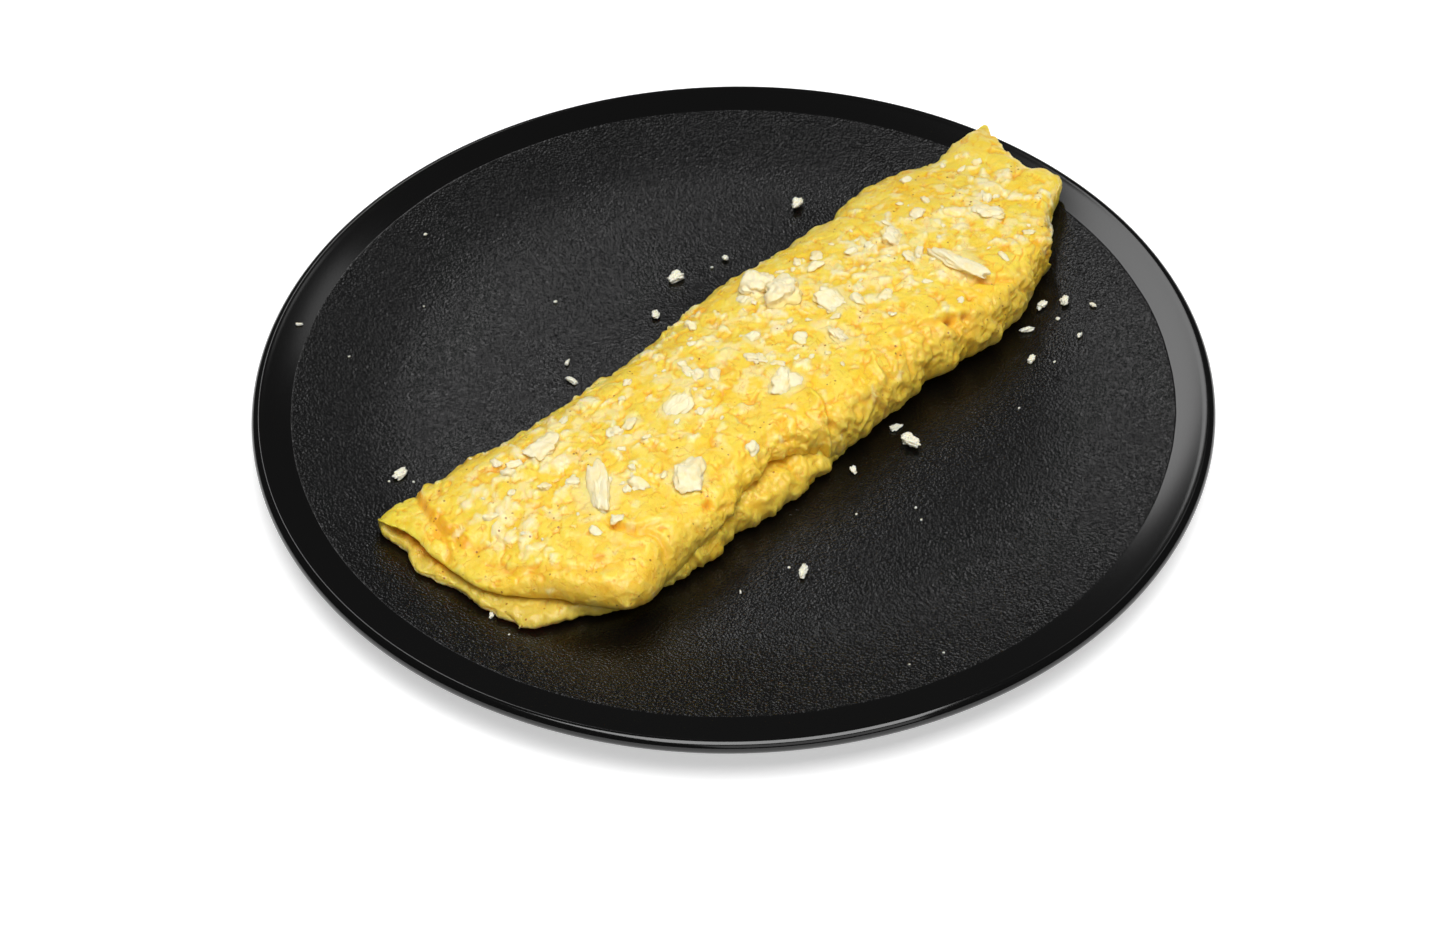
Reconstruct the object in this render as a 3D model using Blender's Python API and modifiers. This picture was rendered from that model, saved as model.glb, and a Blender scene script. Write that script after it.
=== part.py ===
"""A folded omelette, sprinkled with crumbled cheese, on a round black stoneware plate.

Frame: the origin is the centre of the plate's foot, +Z is up, and the omelette lies along X with its
layered end at -X and its open seam on the -Y side. Blender units are metres, and every size below is in
millimetres times MM.

Run with: blender --background --python part.py
"""

import math
from collections import namedtuple

import bpy
import numpy as np
from mathutils import Euler, Vector, noise

MM = 0.001

# ---------------------------------------------------------------------------- driving dimensions
PLATE_RADIUS = 130 * MM
PLATE_HEIGHT = 14.5 * MM
LIP_RADIUS = 2.0 * MM          # the rounded edge is a half round of this radius
BAND_INNER_RADIUS = 119.2 * MM  # where the satin floor ends and the glossy band begins
BAND_RISE = 2.4 * MM           # from the band's inner edge to the top of the lip
FOOT_RADIUS = 78 * MM
FOOT_WIDTH = 5 * MM
FOOT_HEIGHT = 4 * MM
FOOT_BEVEL = 0.6 * MM
FLOOR_HEIGHT = 10.4 * MM       # top of the plate's floor, in the middle
TURN_STEPS = 80

CONTACT_GAP = 0.35 * MM        # between the plate, the omelette and the cheese
OMELETTE_THICKNESS = 17 * MM   # at the crown
FRONT_LIFT = 5.5 * MM          # how far the upper fold's front edge lies above the plate
CORNER_GAPE = 4.2 * MM         # the gap under the upper fold at the back of the left end
UPPER_ROUNDING = 7 * MM        # how far in from its outline each fold reaches full thickness
LOWER_ROUNDING = 3.5 * MM
GRID_ALONG = 43                # points of a fold's grid, along and across
GRID_ACROSS = 18
END_SPACING = 0.35             # 0 spaces the grid evenly along X, 1 gathers it at the ends

# Rise of the plate's floor at a radius, above FLOOR_HEIGHT: a shallow hump over the foot, a valley
# outside it, then a rise to the glossy band.
FLOOR_RELIEF = [(0, 0.0), (50, 0.0), (66, 0.25), (78, 0.1), (90, -0.45), (98, -0.5), (108, 0.4), (119.2, 1.7)]

# ---------------------------------------------------------------------------- outlines, in millimetres
# Each outline is four smooth edges that meet at the corners: front (-Y), back, left end and right end.
UPPER_FRONT = [(-88, -31), (-80, -42), (-72, -45.5), (-55, -45), (-38, -43), (-18, -42), (0, -40.5),
               (16, -39), (32, -36), (50, -35), (68, -36.5), (84, -32), (104, -24)]
UPPER_BACK = [(-105, 23), (-92, 25), (-80, 28), (-68, 22.5), (-48, 22.5), (-25, 23), (-5, 26), (20, 31.5),
              (45, 30.5), (64, 32), (80, 36), (94, 30.5), (106, 29.5), (122, 26)]
UPPER_LEFT = [(-88, -31), (-94, -23.5), (-98, -14), (-99.5, -4), (-103, 10), (-105, 23)]
UPPER_RIGHT = [(104, -24), (117, -11), (122.5, 0), (120, 8), (122.5, 16), (122, 26)]

LOWER_FRONT = [(-98, -30), (-88, -35), (-78, -39), (-62, -42), (-45, -46.5), (-26, -47), (-8, -45),
               (8, -39.5), (24, -35.5), (42, -37.5), (58, -37.5), (72, -32), (98, -20)]
LOWER_BACK = [(-103, 25), (-90, 23.5), (-74, 19), (-20, 15), (40, 18), (98, 20)]
LOWER_LEFT = [(-98, -30), (-101.5, -17), (-100.5, -8), (-105, 4), (-103.5, 14), (-103, 25)]
LOWER_RIGHT = [(98, -20), (102, 0), (98, 20)]

# Thickness over the plate along X, as shares of OMELETTE_THICKNESS, and its change across Y.
CROWN_ALONG = [(-106, 0.38), (-98, 0.42), (-92, 0.50), (-86, 0.64), (-72, 0.80), (-40, 0.93), (0, 1.0),
               (45, 0.97), (80, 0.88), (104, 0.74), (124, 0.52)]
CROWN_ACROSS = [(-48, 0.90), (-30, 1.0), (-8, 1.02), (10, 0.94), (24, 0.80), (38, 0.70)]
LOWER_ALONG = [(-106, 3.2), (-92, 3.6), (-74, 5.0), (-45, 8.0), (-20, 9.0), (0, 8.0), (15, 6.0), (38, 7.5),
               (56, 7.5), (76, 6.0), (104, 5.0)]

Crumble = namedtuple("Crumble", "x y length width height turn_deg")
CRUMBLES = [
    Crumble(21.0, 13.8, 10.5, 9.0, 6.5, 20),
    Crumble(24.8, 5.2, 9.5, 8.5, 7.0, 75),
    Crumble(67.0, -18.0, 19.0, 5.5, 4.5, 92),
    Crumble(-1.0, -21.0, 10.5, 8.5, 6.0, 15),
    Crumble(-62.0, -17.5, 18.5, 5.5, 4.0, 51),
    Crumble(-42.0, -29.0, 10.0, 8.5, 5.5, 60),
    Crumble(-61.0, 5.0, 10.0, 7.5, 4.5, -10),
    Crumble(-28.0, -9.0, 12.0, 5.5, 4.5, 5),
    Crumble(62.0, 3.0, 9.0, 7.5, 4.5, 40),
    Crumble(90.0, -7.0, 10.0, 6.0, 4.5, -55),
    Crumble(31.0, -6.5, 9.5, 7.0, 4.5, 110),
    Crumble(22.5, -18.5, 8.5, 7.0, 4.5, 30),
]


def smooth_line(points, at):
    """The height at each place of `at` on a smooth line through (place, height) points.

    It is a cubic Hermite spline whose slope at a point is that of the chord between its neighbours.
    """
    places, heights = np.array(points, float).T
    slopes = np.gradient(heights, places)
    at = np.clip(np.asarray(at, float), places[0], places[-1])
    k = np.clip(np.searchsorted(places, at) - 1, 0, len(places) - 2)
    span = places[k + 1] - places[k]
    t = (at - places[k]) / span
    return ((2 * t**3 - 3 * t**2 + 1) * heights[k] + (t**3 - 2 * t**2 + t) * span * slopes[k]
            + (3 * t**2 - 2 * t**3) * heights[k + 1] + (t**3 - t**2) * span * slopes[k + 1])


def smooth_curve(points, shares):
    """The (x, y) places at `shares`, 0 to 1 of the chord length, on a smooth curve through points."""
    points = np.array(points, float)
    steps = np.linalg.norm(np.diff(points, axis=0), axis=1)
    along = np.concatenate([[0], np.cumsum(steps)]) / steps.sum()
    return np.stack([smooth_line(np.stack([along, points[:, axis]], 1), shares) for axis in (0, 1)], 1)


def plate_top(radius):
    """Height of the plate's upper surface, in metres, at a radius in metres, out to the lip."""
    radius = np.asarray(radius, float)
    floor = FLOOR_HEIGHT + smooth_line(FLOOR_RELIEF, radius / MM) * MM
    inner = PLATE_HEIGHT - BAND_RISE
    share = np.clip((radius - BAND_INNER_RADIUS) / (PLATE_RADIUS - LIP_RADIUS - BAND_INNER_RADIUS), 0, 1)
    return np.where(radius < BAND_INNER_RADIUS, floor, inner + BAND_RISE * share)


def lumps(x, y):
    """The omelette's broad lumps, a sum of crossed waves 25 to 60 mm long; x, y and result in mm."""
    broad = np.sin(x / 9.1 + 1.3 * np.sin(y / 13)) * np.cos(y / 8.3 + 0.7 * np.sin(x / 21))
    narrow = np.sin(x / 4.3 - y / 6.1) * np.sin(y / 3.9 + x / 17)
    return 0.55 * broad + 0.3 * narrow


def crown_height(x, y):
    """Height of the omelette's upper surface away from its edges, in metres; x and y in metres."""
    thick = OMELETTE_THICKNESS * smooth_line(CROWN_ALONG, x / MM) * smooth_line(CROWN_ACROSS, y / MM)
    return plate_top(np.hypot(x, y)) + thick + lumps(x / MM, y / MM) * MM


def spaced(count, gathering):
    """Shares from 0 to 1, even at no gathering, and as the cosine of even angles at full gathering."""
    even = np.linspace(0, 1, count)
    return (1 - gathering) * even + gathering * (0.5 - 0.5 * np.cos(math.pi * even))


def patch(front, back, left, right):
    """A Coons patch: a grid of (x, y) places, in metres, that fills the outline of four edges."""
    u = spaced(GRID_ALONG, END_SPACING)
    v = spaced(GRID_ACROSS, 1)
    front, back = smooth_curve(front, u), smooth_curve(back, u)
    left, right = smooth_curve(left, v), smooth_curve(right, v)
    u, v = u[:, None, None], v[None, :, None]
    along = (1 - v) * front[:, None] + v * back[:, None]
    across = (1 - u) * left[None] + u * right[None]
    corners = ((1 - u) * ((1 - v) * front[0] + v * back[0]) + u * ((1 - v) * front[-1] + v * back[-1]))
    return (along + across - corners) * MM


def ramp(value, start, end):
    """A share from 0 at `start` to 1 at `end`; value in metres, start and end in millimetres."""
    return np.clip((value / MM - start) / (end - start), 0, 1)


def edge_round(places, width, power):
    """0 on the outline, 1 at `width` or more inside it, on a superellipse of the given power."""
    gaps = [np.linalg.norm(places - edge, axis=2)
            for edge in (places[:, :1], places[:, -1:], places[:1], places[-1:])]
    share = np.clip(np.minimum.reduce(gaps) / width, 0, 1)
    return (1 - (1 - share) ** power) ** (1 / power)


def slab(name, places, low, high, rounding):
    """A closed lens of dough-like sheet between two height grids, its edges rounded to a mid line."""
    middle = low * 0.5 + high * 0.5
    top = np.dstack([places, middle + (high - middle) * rounding])
    under = np.dstack([places, middle - (middle - low) * rounding])
    along, across = places.shape[:2]
    upper = np.arange(along * across).reshape(along, across)
    lower = upper.copy()
    lower[1:-1, 1:-1] = along * across + np.arange((along - 2) * (across - 2)).reshape(along - 2, -1)
    points = np.concatenate([top.reshape(-1, 3), under[1:-1, 1:-1].reshape(-1, 3)])
    quads = [np.stack([grid[:-1, :-1], grid[1:, :-1], grid[1:, 1:], grid[:-1, 1:]], 2).reshape(-1, 4)
             for grid in (upper, lower)]
    faces = np.concatenate([quads[0], quads[1][:, ::-1]])
    mesh = bpy.data.meshes.new(name)
    mesh.from_pydata(points.tolist(), [], faces.tolist())
    return bpy.data.objects.new(name, mesh)


def material(name, color, roughness):
    """A plain Principled material."""
    made = bpy.data.materials.new(name)
    made.use_nodes = True
    shader = made.node_tree.nodes["Principled BSDF"]
    shader.inputs["Base Color"].default_value = (*color, 1)
    shader.inputs["Roughness"].default_value = roughness
    shader.inputs["Metallic"].default_value = 0
    return made


def plate_profile():
    """The plate's half section: over the floor, round the lip, and back under to the axis."""
    floor = [(r * MM, float(plate_top(r * MM))) for r, _ in FLOOR_RELIEF if r * MM < BAND_INNER_RADIUS]
    inner = PLATE_HEIGHT - BAND_RISE
    lip_centre = (PLATE_RADIUS - LIP_RADIUS, PLATE_HEIGHT - LIP_RADIUS)
    band = [(BAND_INNER_RADIUS, inner), (BAND_INNER_RADIUS + 3.5 * MM, inner + 0.75 * MM)]
    lip = [(lip_centre[0] + LIP_RADIUS * math.cos(a), lip_centre[1] + LIP_RADIUS * math.sin(a))
           for a in np.radians(np.linspace(115, -50, 8))]
    under = [(PLATE_RADIUS - 5 * MM, PLATE_HEIGHT - 5.6 * MM),
             (PLATE_RADIUS - 20 * MM, PLATE_HEIGHT - 8.2 * MM),
             (PLATE_RADIUS - 38 * MM, FOOT_HEIGHT + 0.6 * MM),
             (FOOT_RADIUS + 3 * MM, FOOT_HEIGHT)]
    inside = FOOT_RADIUS - FOOT_WIDTH
    foot = [(FOOT_RADIUS, FOOT_HEIGHT - 2 * FOOT_BEVEL), (FOOT_RADIUS, FOOT_BEVEL),
            (FOOT_RADIUS - FOOT_BEVEL, 0), (inside + FOOT_BEVEL, 0), (inside, FOOT_BEVEL),
            (inside - 2 * FOOT_BEVEL, FOOT_HEIGHT), (0, FOOT_HEIGHT)]
    return floor + band + lip + under + foot


def make_plate(parts):
    """The plate: its half section turned about Z."""
    profile = plate_profile()
    mesh = bpy.data.meshes.new("plate")
    mesh.from_pydata([(r, 0, z) for r, z in profile], [(i, i + 1) for i in range(len(profile) - 1)], [])
    plate = bpy.data.objects.new("plate", mesh)
    turned = plate.modifiers.new("Turn", "SCREW")
    turned.axis = "Z"
    turned.steps = turned.render_steps = TURN_STEPS
    turned.use_merge_vertices = True
    turned.merge_threshold = 0.00005
    turned.use_smooth_shade = True
    mesh.materials.append(material("black_stoneware", (0.012, 0.012, 0.012), 0.4))
    parts.objects.link(plate)


def make_omelette(parts, helpers):
    """The omelette, one solid: the upper fold lies over the lower lap, which shows along the front and
    sticks out at the left end, where the sheet gapes a little at the back corner."""
    egg = material("cooked_egg", (0.90, 0.62, 0.16), 0.45)

    places = patch(UPPER_FRONT, UPPER_BACK, UPPER_LEFT, UPPER_RIGHT)
    x, y = places[..., 0], places[..., 1]
    rest = plate_top(np.hypot(x, y)) + CONTACT_GAP
    lift = FRONT_LIFT * ramp(y, 2, -28)
    gape = CORNER_GAPE * ramp(x, -92, -100) * ramp(y, -8, 1) * ramp(y, 25, 19)
    rounding = edge_round(places, UPPER_ROUNDING, 2.4)
    upper = slab("omelette", places, rest + lift + gape, crown_height(x, y), rounding)
    upper.data.materials.append(egg)
    parts.objects.link(upper)

    places = patch(LOWER_FRONT, LOWER_BACK, LOWER_LEFT, LOWER_RIGHT)
    x, y = places[..., 0], places[..., 1]
    rest = plate_top(np.hypot(x, y)) + CONTACT_GAP
    crown = rest + smooth_line(LOWER_ALONG, x / MM) * MM
    lower = slab("lower_lap", places, rest, crown, edge_round(places, LOWER_ROUNDING, 2.2))
    lower.hide_render = True
    lower.display_type = "WIRE"
    helpers.objects.link(lower)

    join = upper.modifiers.new("Join lower lap", "BOOLEAN")
    join.operation = "UNION"
    join.object = lower


def make_crumble(parts, number, crumble, cheese):
    """One crumble of cheese: a ball, stretched, made uneven, turned, and flat where it lies on the egg."""
    bpy.ops.mesh.primitive_ico_sphere_add(subdivisions=2, radius=1)
    ball = bpy.context.object
    ball.name = ball.data.name = f"cheese_crumble_{number:02d}"
    for collection in list(ball.users_collection):
        collection.objects.unlink(ball)
    parts.objects.link(ball)
    half = Vector((crumble.length, crumble.width, crumble.height)) * 0.5 * MM
    turn = Euler((0, 0, math.radians(crumble.turn_deg))).to_matrix()
    centre = Vector((crumble.x, crumble.y, 0)) * MM
    centre.z = float(crown_height(centre.x, centre.y)) + 0.55 * half.z
    seed = Vector((number * 7.3, number * 3.1, 0))
    for vertex in ball.data.vertices:
        uneven = 1 + 0.30 * noise.noise(vertex.co * 1.6 + seed)
        vertex.co = centre + turn @ Vector(a * b for a, b in zip(vertex.co * uneven, half))
        floor = float(crown_height(vertex.co.x, vertex.co.y)) + 2 * CONTACT_GAP
        vertex.co.z = max(vertex.co.z, floor)
    ball.data.materials.append(cheese)


def main():
    """Builds the plate, the omelette and the crumbles of cheese."""
    for old in list(bpy.data.objects):
        bpy.data.objects.remove(old)
    parts = bpy.data.collections.new("folded_omelette")
    helpers = bpy.data.collections.new("helpers")
    for collection in (parts, helpers):
        bpy.context.scene.collection.children.link(collection)
    make_plate(parts)
    make_omelette(parts, helpers)
    cheese = material("white_cheese", (0.86, 0.82, 0.66), 0.55)
    for number, crumble in enumerate(CRUMBLES, start=1):
        make_crumble(parts, number, crumble, cheese)


main()
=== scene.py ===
"""Looks of a folded omelette with crumbled cheese, on its round black stoneware plate.

Every length is in millimetres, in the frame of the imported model: the origin is the centre of the plate's
foot, +Z is up, and the omelette lies along X with its layered end at -X and its open seam on the -Y side.
Piece.build turns millimetres into Blender's metres.
"""

from __future__ import annotations

import logging
import math
from dataclasses import dataclass, field
from enum import Enum, IntEnum

import bpy
import numpy as np
from mathutils import Matrix, Vector
from mathutils.bvhtree import BVHTree


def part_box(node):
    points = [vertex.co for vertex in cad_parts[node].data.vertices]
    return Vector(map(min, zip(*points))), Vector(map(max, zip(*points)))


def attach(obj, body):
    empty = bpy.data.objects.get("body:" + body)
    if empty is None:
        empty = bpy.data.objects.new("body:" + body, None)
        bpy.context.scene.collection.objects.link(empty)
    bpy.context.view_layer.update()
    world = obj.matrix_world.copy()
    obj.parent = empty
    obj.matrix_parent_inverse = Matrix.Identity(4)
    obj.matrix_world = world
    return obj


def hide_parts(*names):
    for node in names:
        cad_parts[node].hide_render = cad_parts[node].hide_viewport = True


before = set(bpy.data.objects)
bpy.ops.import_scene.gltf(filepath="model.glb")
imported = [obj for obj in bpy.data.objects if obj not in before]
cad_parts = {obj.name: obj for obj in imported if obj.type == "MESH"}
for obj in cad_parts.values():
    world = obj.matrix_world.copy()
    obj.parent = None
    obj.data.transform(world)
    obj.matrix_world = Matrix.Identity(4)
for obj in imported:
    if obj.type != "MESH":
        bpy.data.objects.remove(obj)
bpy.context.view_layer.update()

Array = np.ndarray
Point2 = tuple[float, float]
Colour = tuple[float, float, float]
Footing = tuple[float, Vector]  # the height and the normal of what a crumb lies on

MM = 0.001
UP = Vector((0, 0, 1))
BODY = "root"
LOG = logging.getLogger("omelette")


# ---------------------------------------------------------------------------- numbers and noise
def srgb(red: float, green: float, blue: float) -> tuple[float, float, float, float]:
    """Turns a display colour, 0 to 255 a channel, into the linear colour that a shader takes.

    Args:
        red: Display red.
        green: Display green.
        blue: Display blue.

    Returns:
        Linear red, green, blue and an alpha of 1.
    """
    shares = np.array([red, green, blue], float) / 255
    linear = np.where(shares <= 0.04045, shares / 12.92, ((shares + 0.055) / 1.055) ** 2.4)
    return (*(float(value) for value in linear), 1.0)


def smoothstep(low: float, high: float, values: Array) -> Array:
    """The cubic 3t^2 - 2t^3 of how far each value is from low to high.

    Args:
        low: Where the result is 0.
        high: Where it is 1; it may be less than low.
        values: Numbers of any shape.

    Returns:
        Numbers from 0 to 1, of the same shape.
    """
    share = np.clip((values - low) / (high - low), 0, 1)
    return share * share * (3 - 2 * share)


def smooth_line(points: list[Point2], at: Array) -> Array:
    """A cubic Hermite spline whose slope at a point is that of its neighbours' chord.

    Args:
        points: (place, height) pairs, with rising places.
        at: Places of any shape.

    Returns:
        The heights there, of the same shape.
    """
    places, heights = np.array(points, float).T
    slopes = np.gradient(heights, places)
    at = np.clip(np.asarray(at, float), places[0], places[-1])
    k = np.clip(np.searchsorted(places, at) - 1, 0, len(places) - 2)
    span = places[k + 1] - places[k]
    t = (at - places[k]) / span
    return ((2 * t**3 - 3 * t**2 + 1) * heights[k] + (t**3 - 2 * t**2 + t) * span * slopes[k]
            + (3 * t**2 - 2 * t**3) * heights[k + 1] + (t**3 - t**2) * span * slopes[k + 1])


def distance_to_path(places: Array, path: list[Point2]) -> tuple[Array, Array, Array]:
    """Measures how far places in the plane are from a path of straight stretches.

    Args:
        places: (..., 2) places.
        path: The path's corners, in order.

    Returns:
        The distance, the side (+1 on the left of the path, -1 on the right) and how far along the path
        the nearest point is, 0 to 1.
    """
    corners = np.array(path, float)
    steps = np.linalg.norm(np.diff(corners, axis=0), axis=1)
    begins = np.concatenate([[0], np.cumsum(steps)])
    best = np.full(places.shape[:-1], np.inf)
    side = np.ones_like(best)
    along = np.zeros_like(best)
    for start, end, step, begin in zip(corners[:-1], corners[1:], steps, begins):
        unit = (end - start) / step
        offset = places - start
        t = np.clip(offset @ unit, 0, step)
        gap = np.linalg.norm(offset - t[..., None] * unit, axis=-1)
        near = gap < best
        best = np.where(near, gap, best)
        cross = unit[0] * offset[..., 1] - unit[1] * offset[..., 0]
        side = np.where(near, np.sign(cross), side)
        along = np.where(near, (begin + t) / begins[-1], along)
    return best, side, along


def gap_to(points: Array, x: float, y: float) -> Array:
    """Distances in the plane from points, (..., 2) or (..., 3), to a place."""
    return np.hypot(points[..., 0] - x, points[..., 1] - y)


class Noise:
    """Lattice noise in three dimensions, for whole arrays of points at once."""

    DIRECTIONS = 256
    FULL = 1.6  # brings the blended slopes to about -1 to 1
    PRIMES = (374761393, 668265263, 1440662683)
    SEED_PRIME, SEED_START, SCRAMBLE = 974711, 12345, 1274126177
    _rng = np.random.default_rng(7)
    _table = _rng.normal(size=(DIRECTIONS, 3))
    _table /= np.linalg.norm(_table, axis=1)[:, None]

    @classmethod
    def hashed(cls, cells: Array, seed: int) -> Array:
        """Scrambles whole-number cells into whole numbers below 2^32, by multiplying and folding bits."""
        x, y, z = (cells[..., axis].astype(np.uint64) * np.uint64(prime)
                   for axis, prime in enumerate(cls.PRIMES))
        low_bits = np.uint64(0xFFFFFFFF)
        mixed = (x + y + z + np.uint64(seed * cls.SEED_PRIME + cls.SEED_START)) & low_bits
        mixed = ((mixed ^ (mixed >> np.uint64(13))) * np.uint64(cls.SCRAMBLE)) & low_bits
        return mixed ^ (mixed >> np.uint64(16))

    @classmethod
    def gradient(cls, points: Array, seed: int) -> Array:
        """Perlin's noise: each corner of the unit cell has a slope, and the slopes are blended.

        Args:
            points: (..., 3) points, in cells.
            seed: Which pattern.

        Returns:
            Values of about -1 to 1.
        """
        base = np.floor(points).astype(np.int64)
        inside = points - base
        blend = inside**3 * (inside * (inside * 6 - 15) + 10)
        total = np.zeros(points.shape[:-1])
        for corner in np.ndindex(2, 2, 2):
            step = np.array(corner)
            slopes = cls._table[(cls.hashed(base + step, seed) % np.uint64(cls.DIRECTIONS)).astype(int)]
            weight = np.prod(np.where(step == 1, blend, 1 - blend), axis=-1)
            total += weight * np.einsum("...i,...i->...", slopes, inside - step)
        return total * cls.FULL

    @classmethod
    def fractal(cls, points: Array, size: float, octaves: int, seed: int, gain: float = 0.5) -> Array:
        """Adds up octaves of gradient noise, each at half the size and `gain` times the height.

        Args:
            points: (..., 3) points in millimetres.
            size: Width of the largest cell.
            octaves: How many layers.
            seed: Which pattern.
            gain: Height of each layer over the one before.

        Returns:
            Values of about -1 to 1.
        """
        total = np.zeros(points.shape[:-1])
        height, reach = 1.0, 0.0
        for octave in range(octaves):
            total += height * cls.gradient(points * (2.0**octave / size), seed + 31 * octave)
            reach += height
            height *= gain
        return total / reach

    @classmethod
    def bend(cls, points: Array, size: float, apart: float, seed: int) -> Array:
        """Three gradient noises to push points about with, each read `apart` cells from the last."""
        return np.stack([cls.gradient(points / size + axis * apart, seed + axis) for axis in range(3)], -1)

    @classmethod
    def ridged(cls, points: Array, size: float, octaves: int, seed: int) -> Array:
        """Adds up octaves of 1 - |noise|, whose crests are sharp, scaled to 0 to 1."""
        total = np.zeros(points.shape[:-1])
        height, reach = 1.0, 0.0
        for octave in range(octaves):
            total += height * (1 - np.abs(cls.gradient(points * (2.0**octave / size), seed + 17 * octave)))
            reach += height
            height *= 0.5
        return total / reach

    @classmethod
    def cells(cls, points: Array, size: float, seed: int) -> tuple[Array, Array, Array]:
        """Worley's noise: one random point in each cell of a lattice.

        Args:
            points: (..., 3) points in millimetres.
            size: Width of a cell.
            seed: Which pattern.

        Returns:
            The distances to the nearest and second nearest point, in cells, and a random share from 0 to
            1 that belongs to the nearest.
        """
        scaled = points / size
        base = np.floor(scaled).astype(np.int64)
        first = np.full(points.shape[:-1], 9.0)
        second = first.copy()
        tone = np.zeros_like(first)
        for offset in np.ndindex(3, 3, 3):
            cell = base + (np.array(offset) - 1)
            shares = np.stack([cls.hashed(cell, seed + axis) for axis in range(3)], -1) / 2.0**32
            gap = np.linalg.norm(cell + shares - scaled, axis=-1)
            nearer = gap < first
            second = np.where(nearer, first, np.minimum(second, gap))
            tone = np.where(nearer, cls.hashed(cell, seed + 9) / 2.0**32, tone)
            first = np.where(nearer, gap, first)
        return first, second, tone


# ---------------------------------------------------------------------------- meshes
@dataclass
class Shape:
    """A mesh being worked out: points in millimetres, faces, and masks with a value for each point.

    A face is a row of four point numbers, and the last is -1 where it has three corners.
    """

    points: Array
    faces: Array
    masks: dict[str, Array] = field(default_factory=dict)


@dataclass
class Piece:
    """A finished piece of the object: a shape with a name, a material, a slot name and the imported solids
    that it hides.
    """

    name: str
    shape: Shape
    material: bpy.types.Material
    slot: str
    replaced: tuple[str, ...] = ()

    def build(self) -> bpy.types.Object:
        """Makes the mesh object, shades it smooth, and ties it to the frame.

        Returns:
            The new object.
        """
        faces = self.shape.faces
        corners = faces[faces >= 0]
        sizes = (faces >= 0).sum(1)
        mesh = bpy.data.meshes.new(self.name)
        mesh.vertices.add(len(self.shape.points))
        mesh.vertices.foreach_set("co", (self.shape.points * MM).astype(np.float32).ravel())
        mesh.loops.add(len(corners))
        mesh.loops.foreach_set("vertex_index", corners.astype(np.int32))
        mesh.polygons.add(len(faces))
        starts = np.concatenate([[0], np.cumsum(sizes)[:-1]]).astype(np.int32)
        mesh.polygons.foreach_set("loop_start", starts)
        mesh.update(calc_edges=True)
        mesh.validate()
        mesh.polygons.foreach_set("use_smooth", np.ones(len(mesh.polygons), bool))
        for name, values in self.shape.masks.items():
            layer = mesh.attributes.new(name, "FLOAT", "POINT")
            layer.data.foreach_set("value", values.astype(np.float32))
        mesh.materials.append(self.material)
        made = bpy.data.objects.new(self.name, mesh)
        bpy.context.scene.collection.objects.link(made)
        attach(made, BODY)
        if self.replaced:
            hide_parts(*self.replaced)
        LOG.info("%s: %d triangles", self.name, (sizes - 2).sum())
        return made


def grid_faces(numbers: Array) -> Array:
    """The four-sided faces between neighbours in a grid of point numbers, wound one way."""
    corners = [numbers[:-1, :-1], numbers[1:, :-1], numbers[1:, 1:], numbers[:-1, 1:]]
    return np.stack(corners, 2).reshape(-1, 4)


def fan_faces(rim: Array, pole: int, order: int) -> Array:
    """The three-sided faces between a rim of point numbers and a pole, turned over if order is -1."""
    corners = np.stack([np.full(len(rim) - 1, pole), rim[:-1], rim[1:]], 1)[:, ::order]
    return np.concatenate([corners, np.full((len(corners), 1), -1)], 1)


def grid_normals(grid: Array) -> Array:
    """Unit normals of a grid of points: the cross product of its two differences, upwards for u x v."""
    normals = np.cross(np.gradient(grid, axis=0), np.gradient(grid, axis=1))
    return normals / np.maximum(np.linalg.norm(normals, axis=2, keepdims=True), 1e-9)


class Ground:
    """The surface that crumbs lie on, as a tree of faces that a plumb line is dropped on."""

    OVER = 100.0  # where the plumb line starts, above everything

    def __init__(self, shape: Shape) -> None:
        """Sorts the faces of a shape into a tree."""
        faces = [[number for number in face if number >= 0] for face in shape.faces.tolist()]
        self.tree = BVHTree.FromPolygons(shape.points.tolist(), faces)

    def below(self, x: float, y: float, fallback: float) -> Footing:
        """The height and the normal of the surface under a place, or the fallback height with +Z."""
        place, normal, _, _ = self.tree.ray_cast(Vector((x, y, self.OVER)), -UP)
        if place is None:
            return fallback, UP
        return place.z, normal


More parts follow.
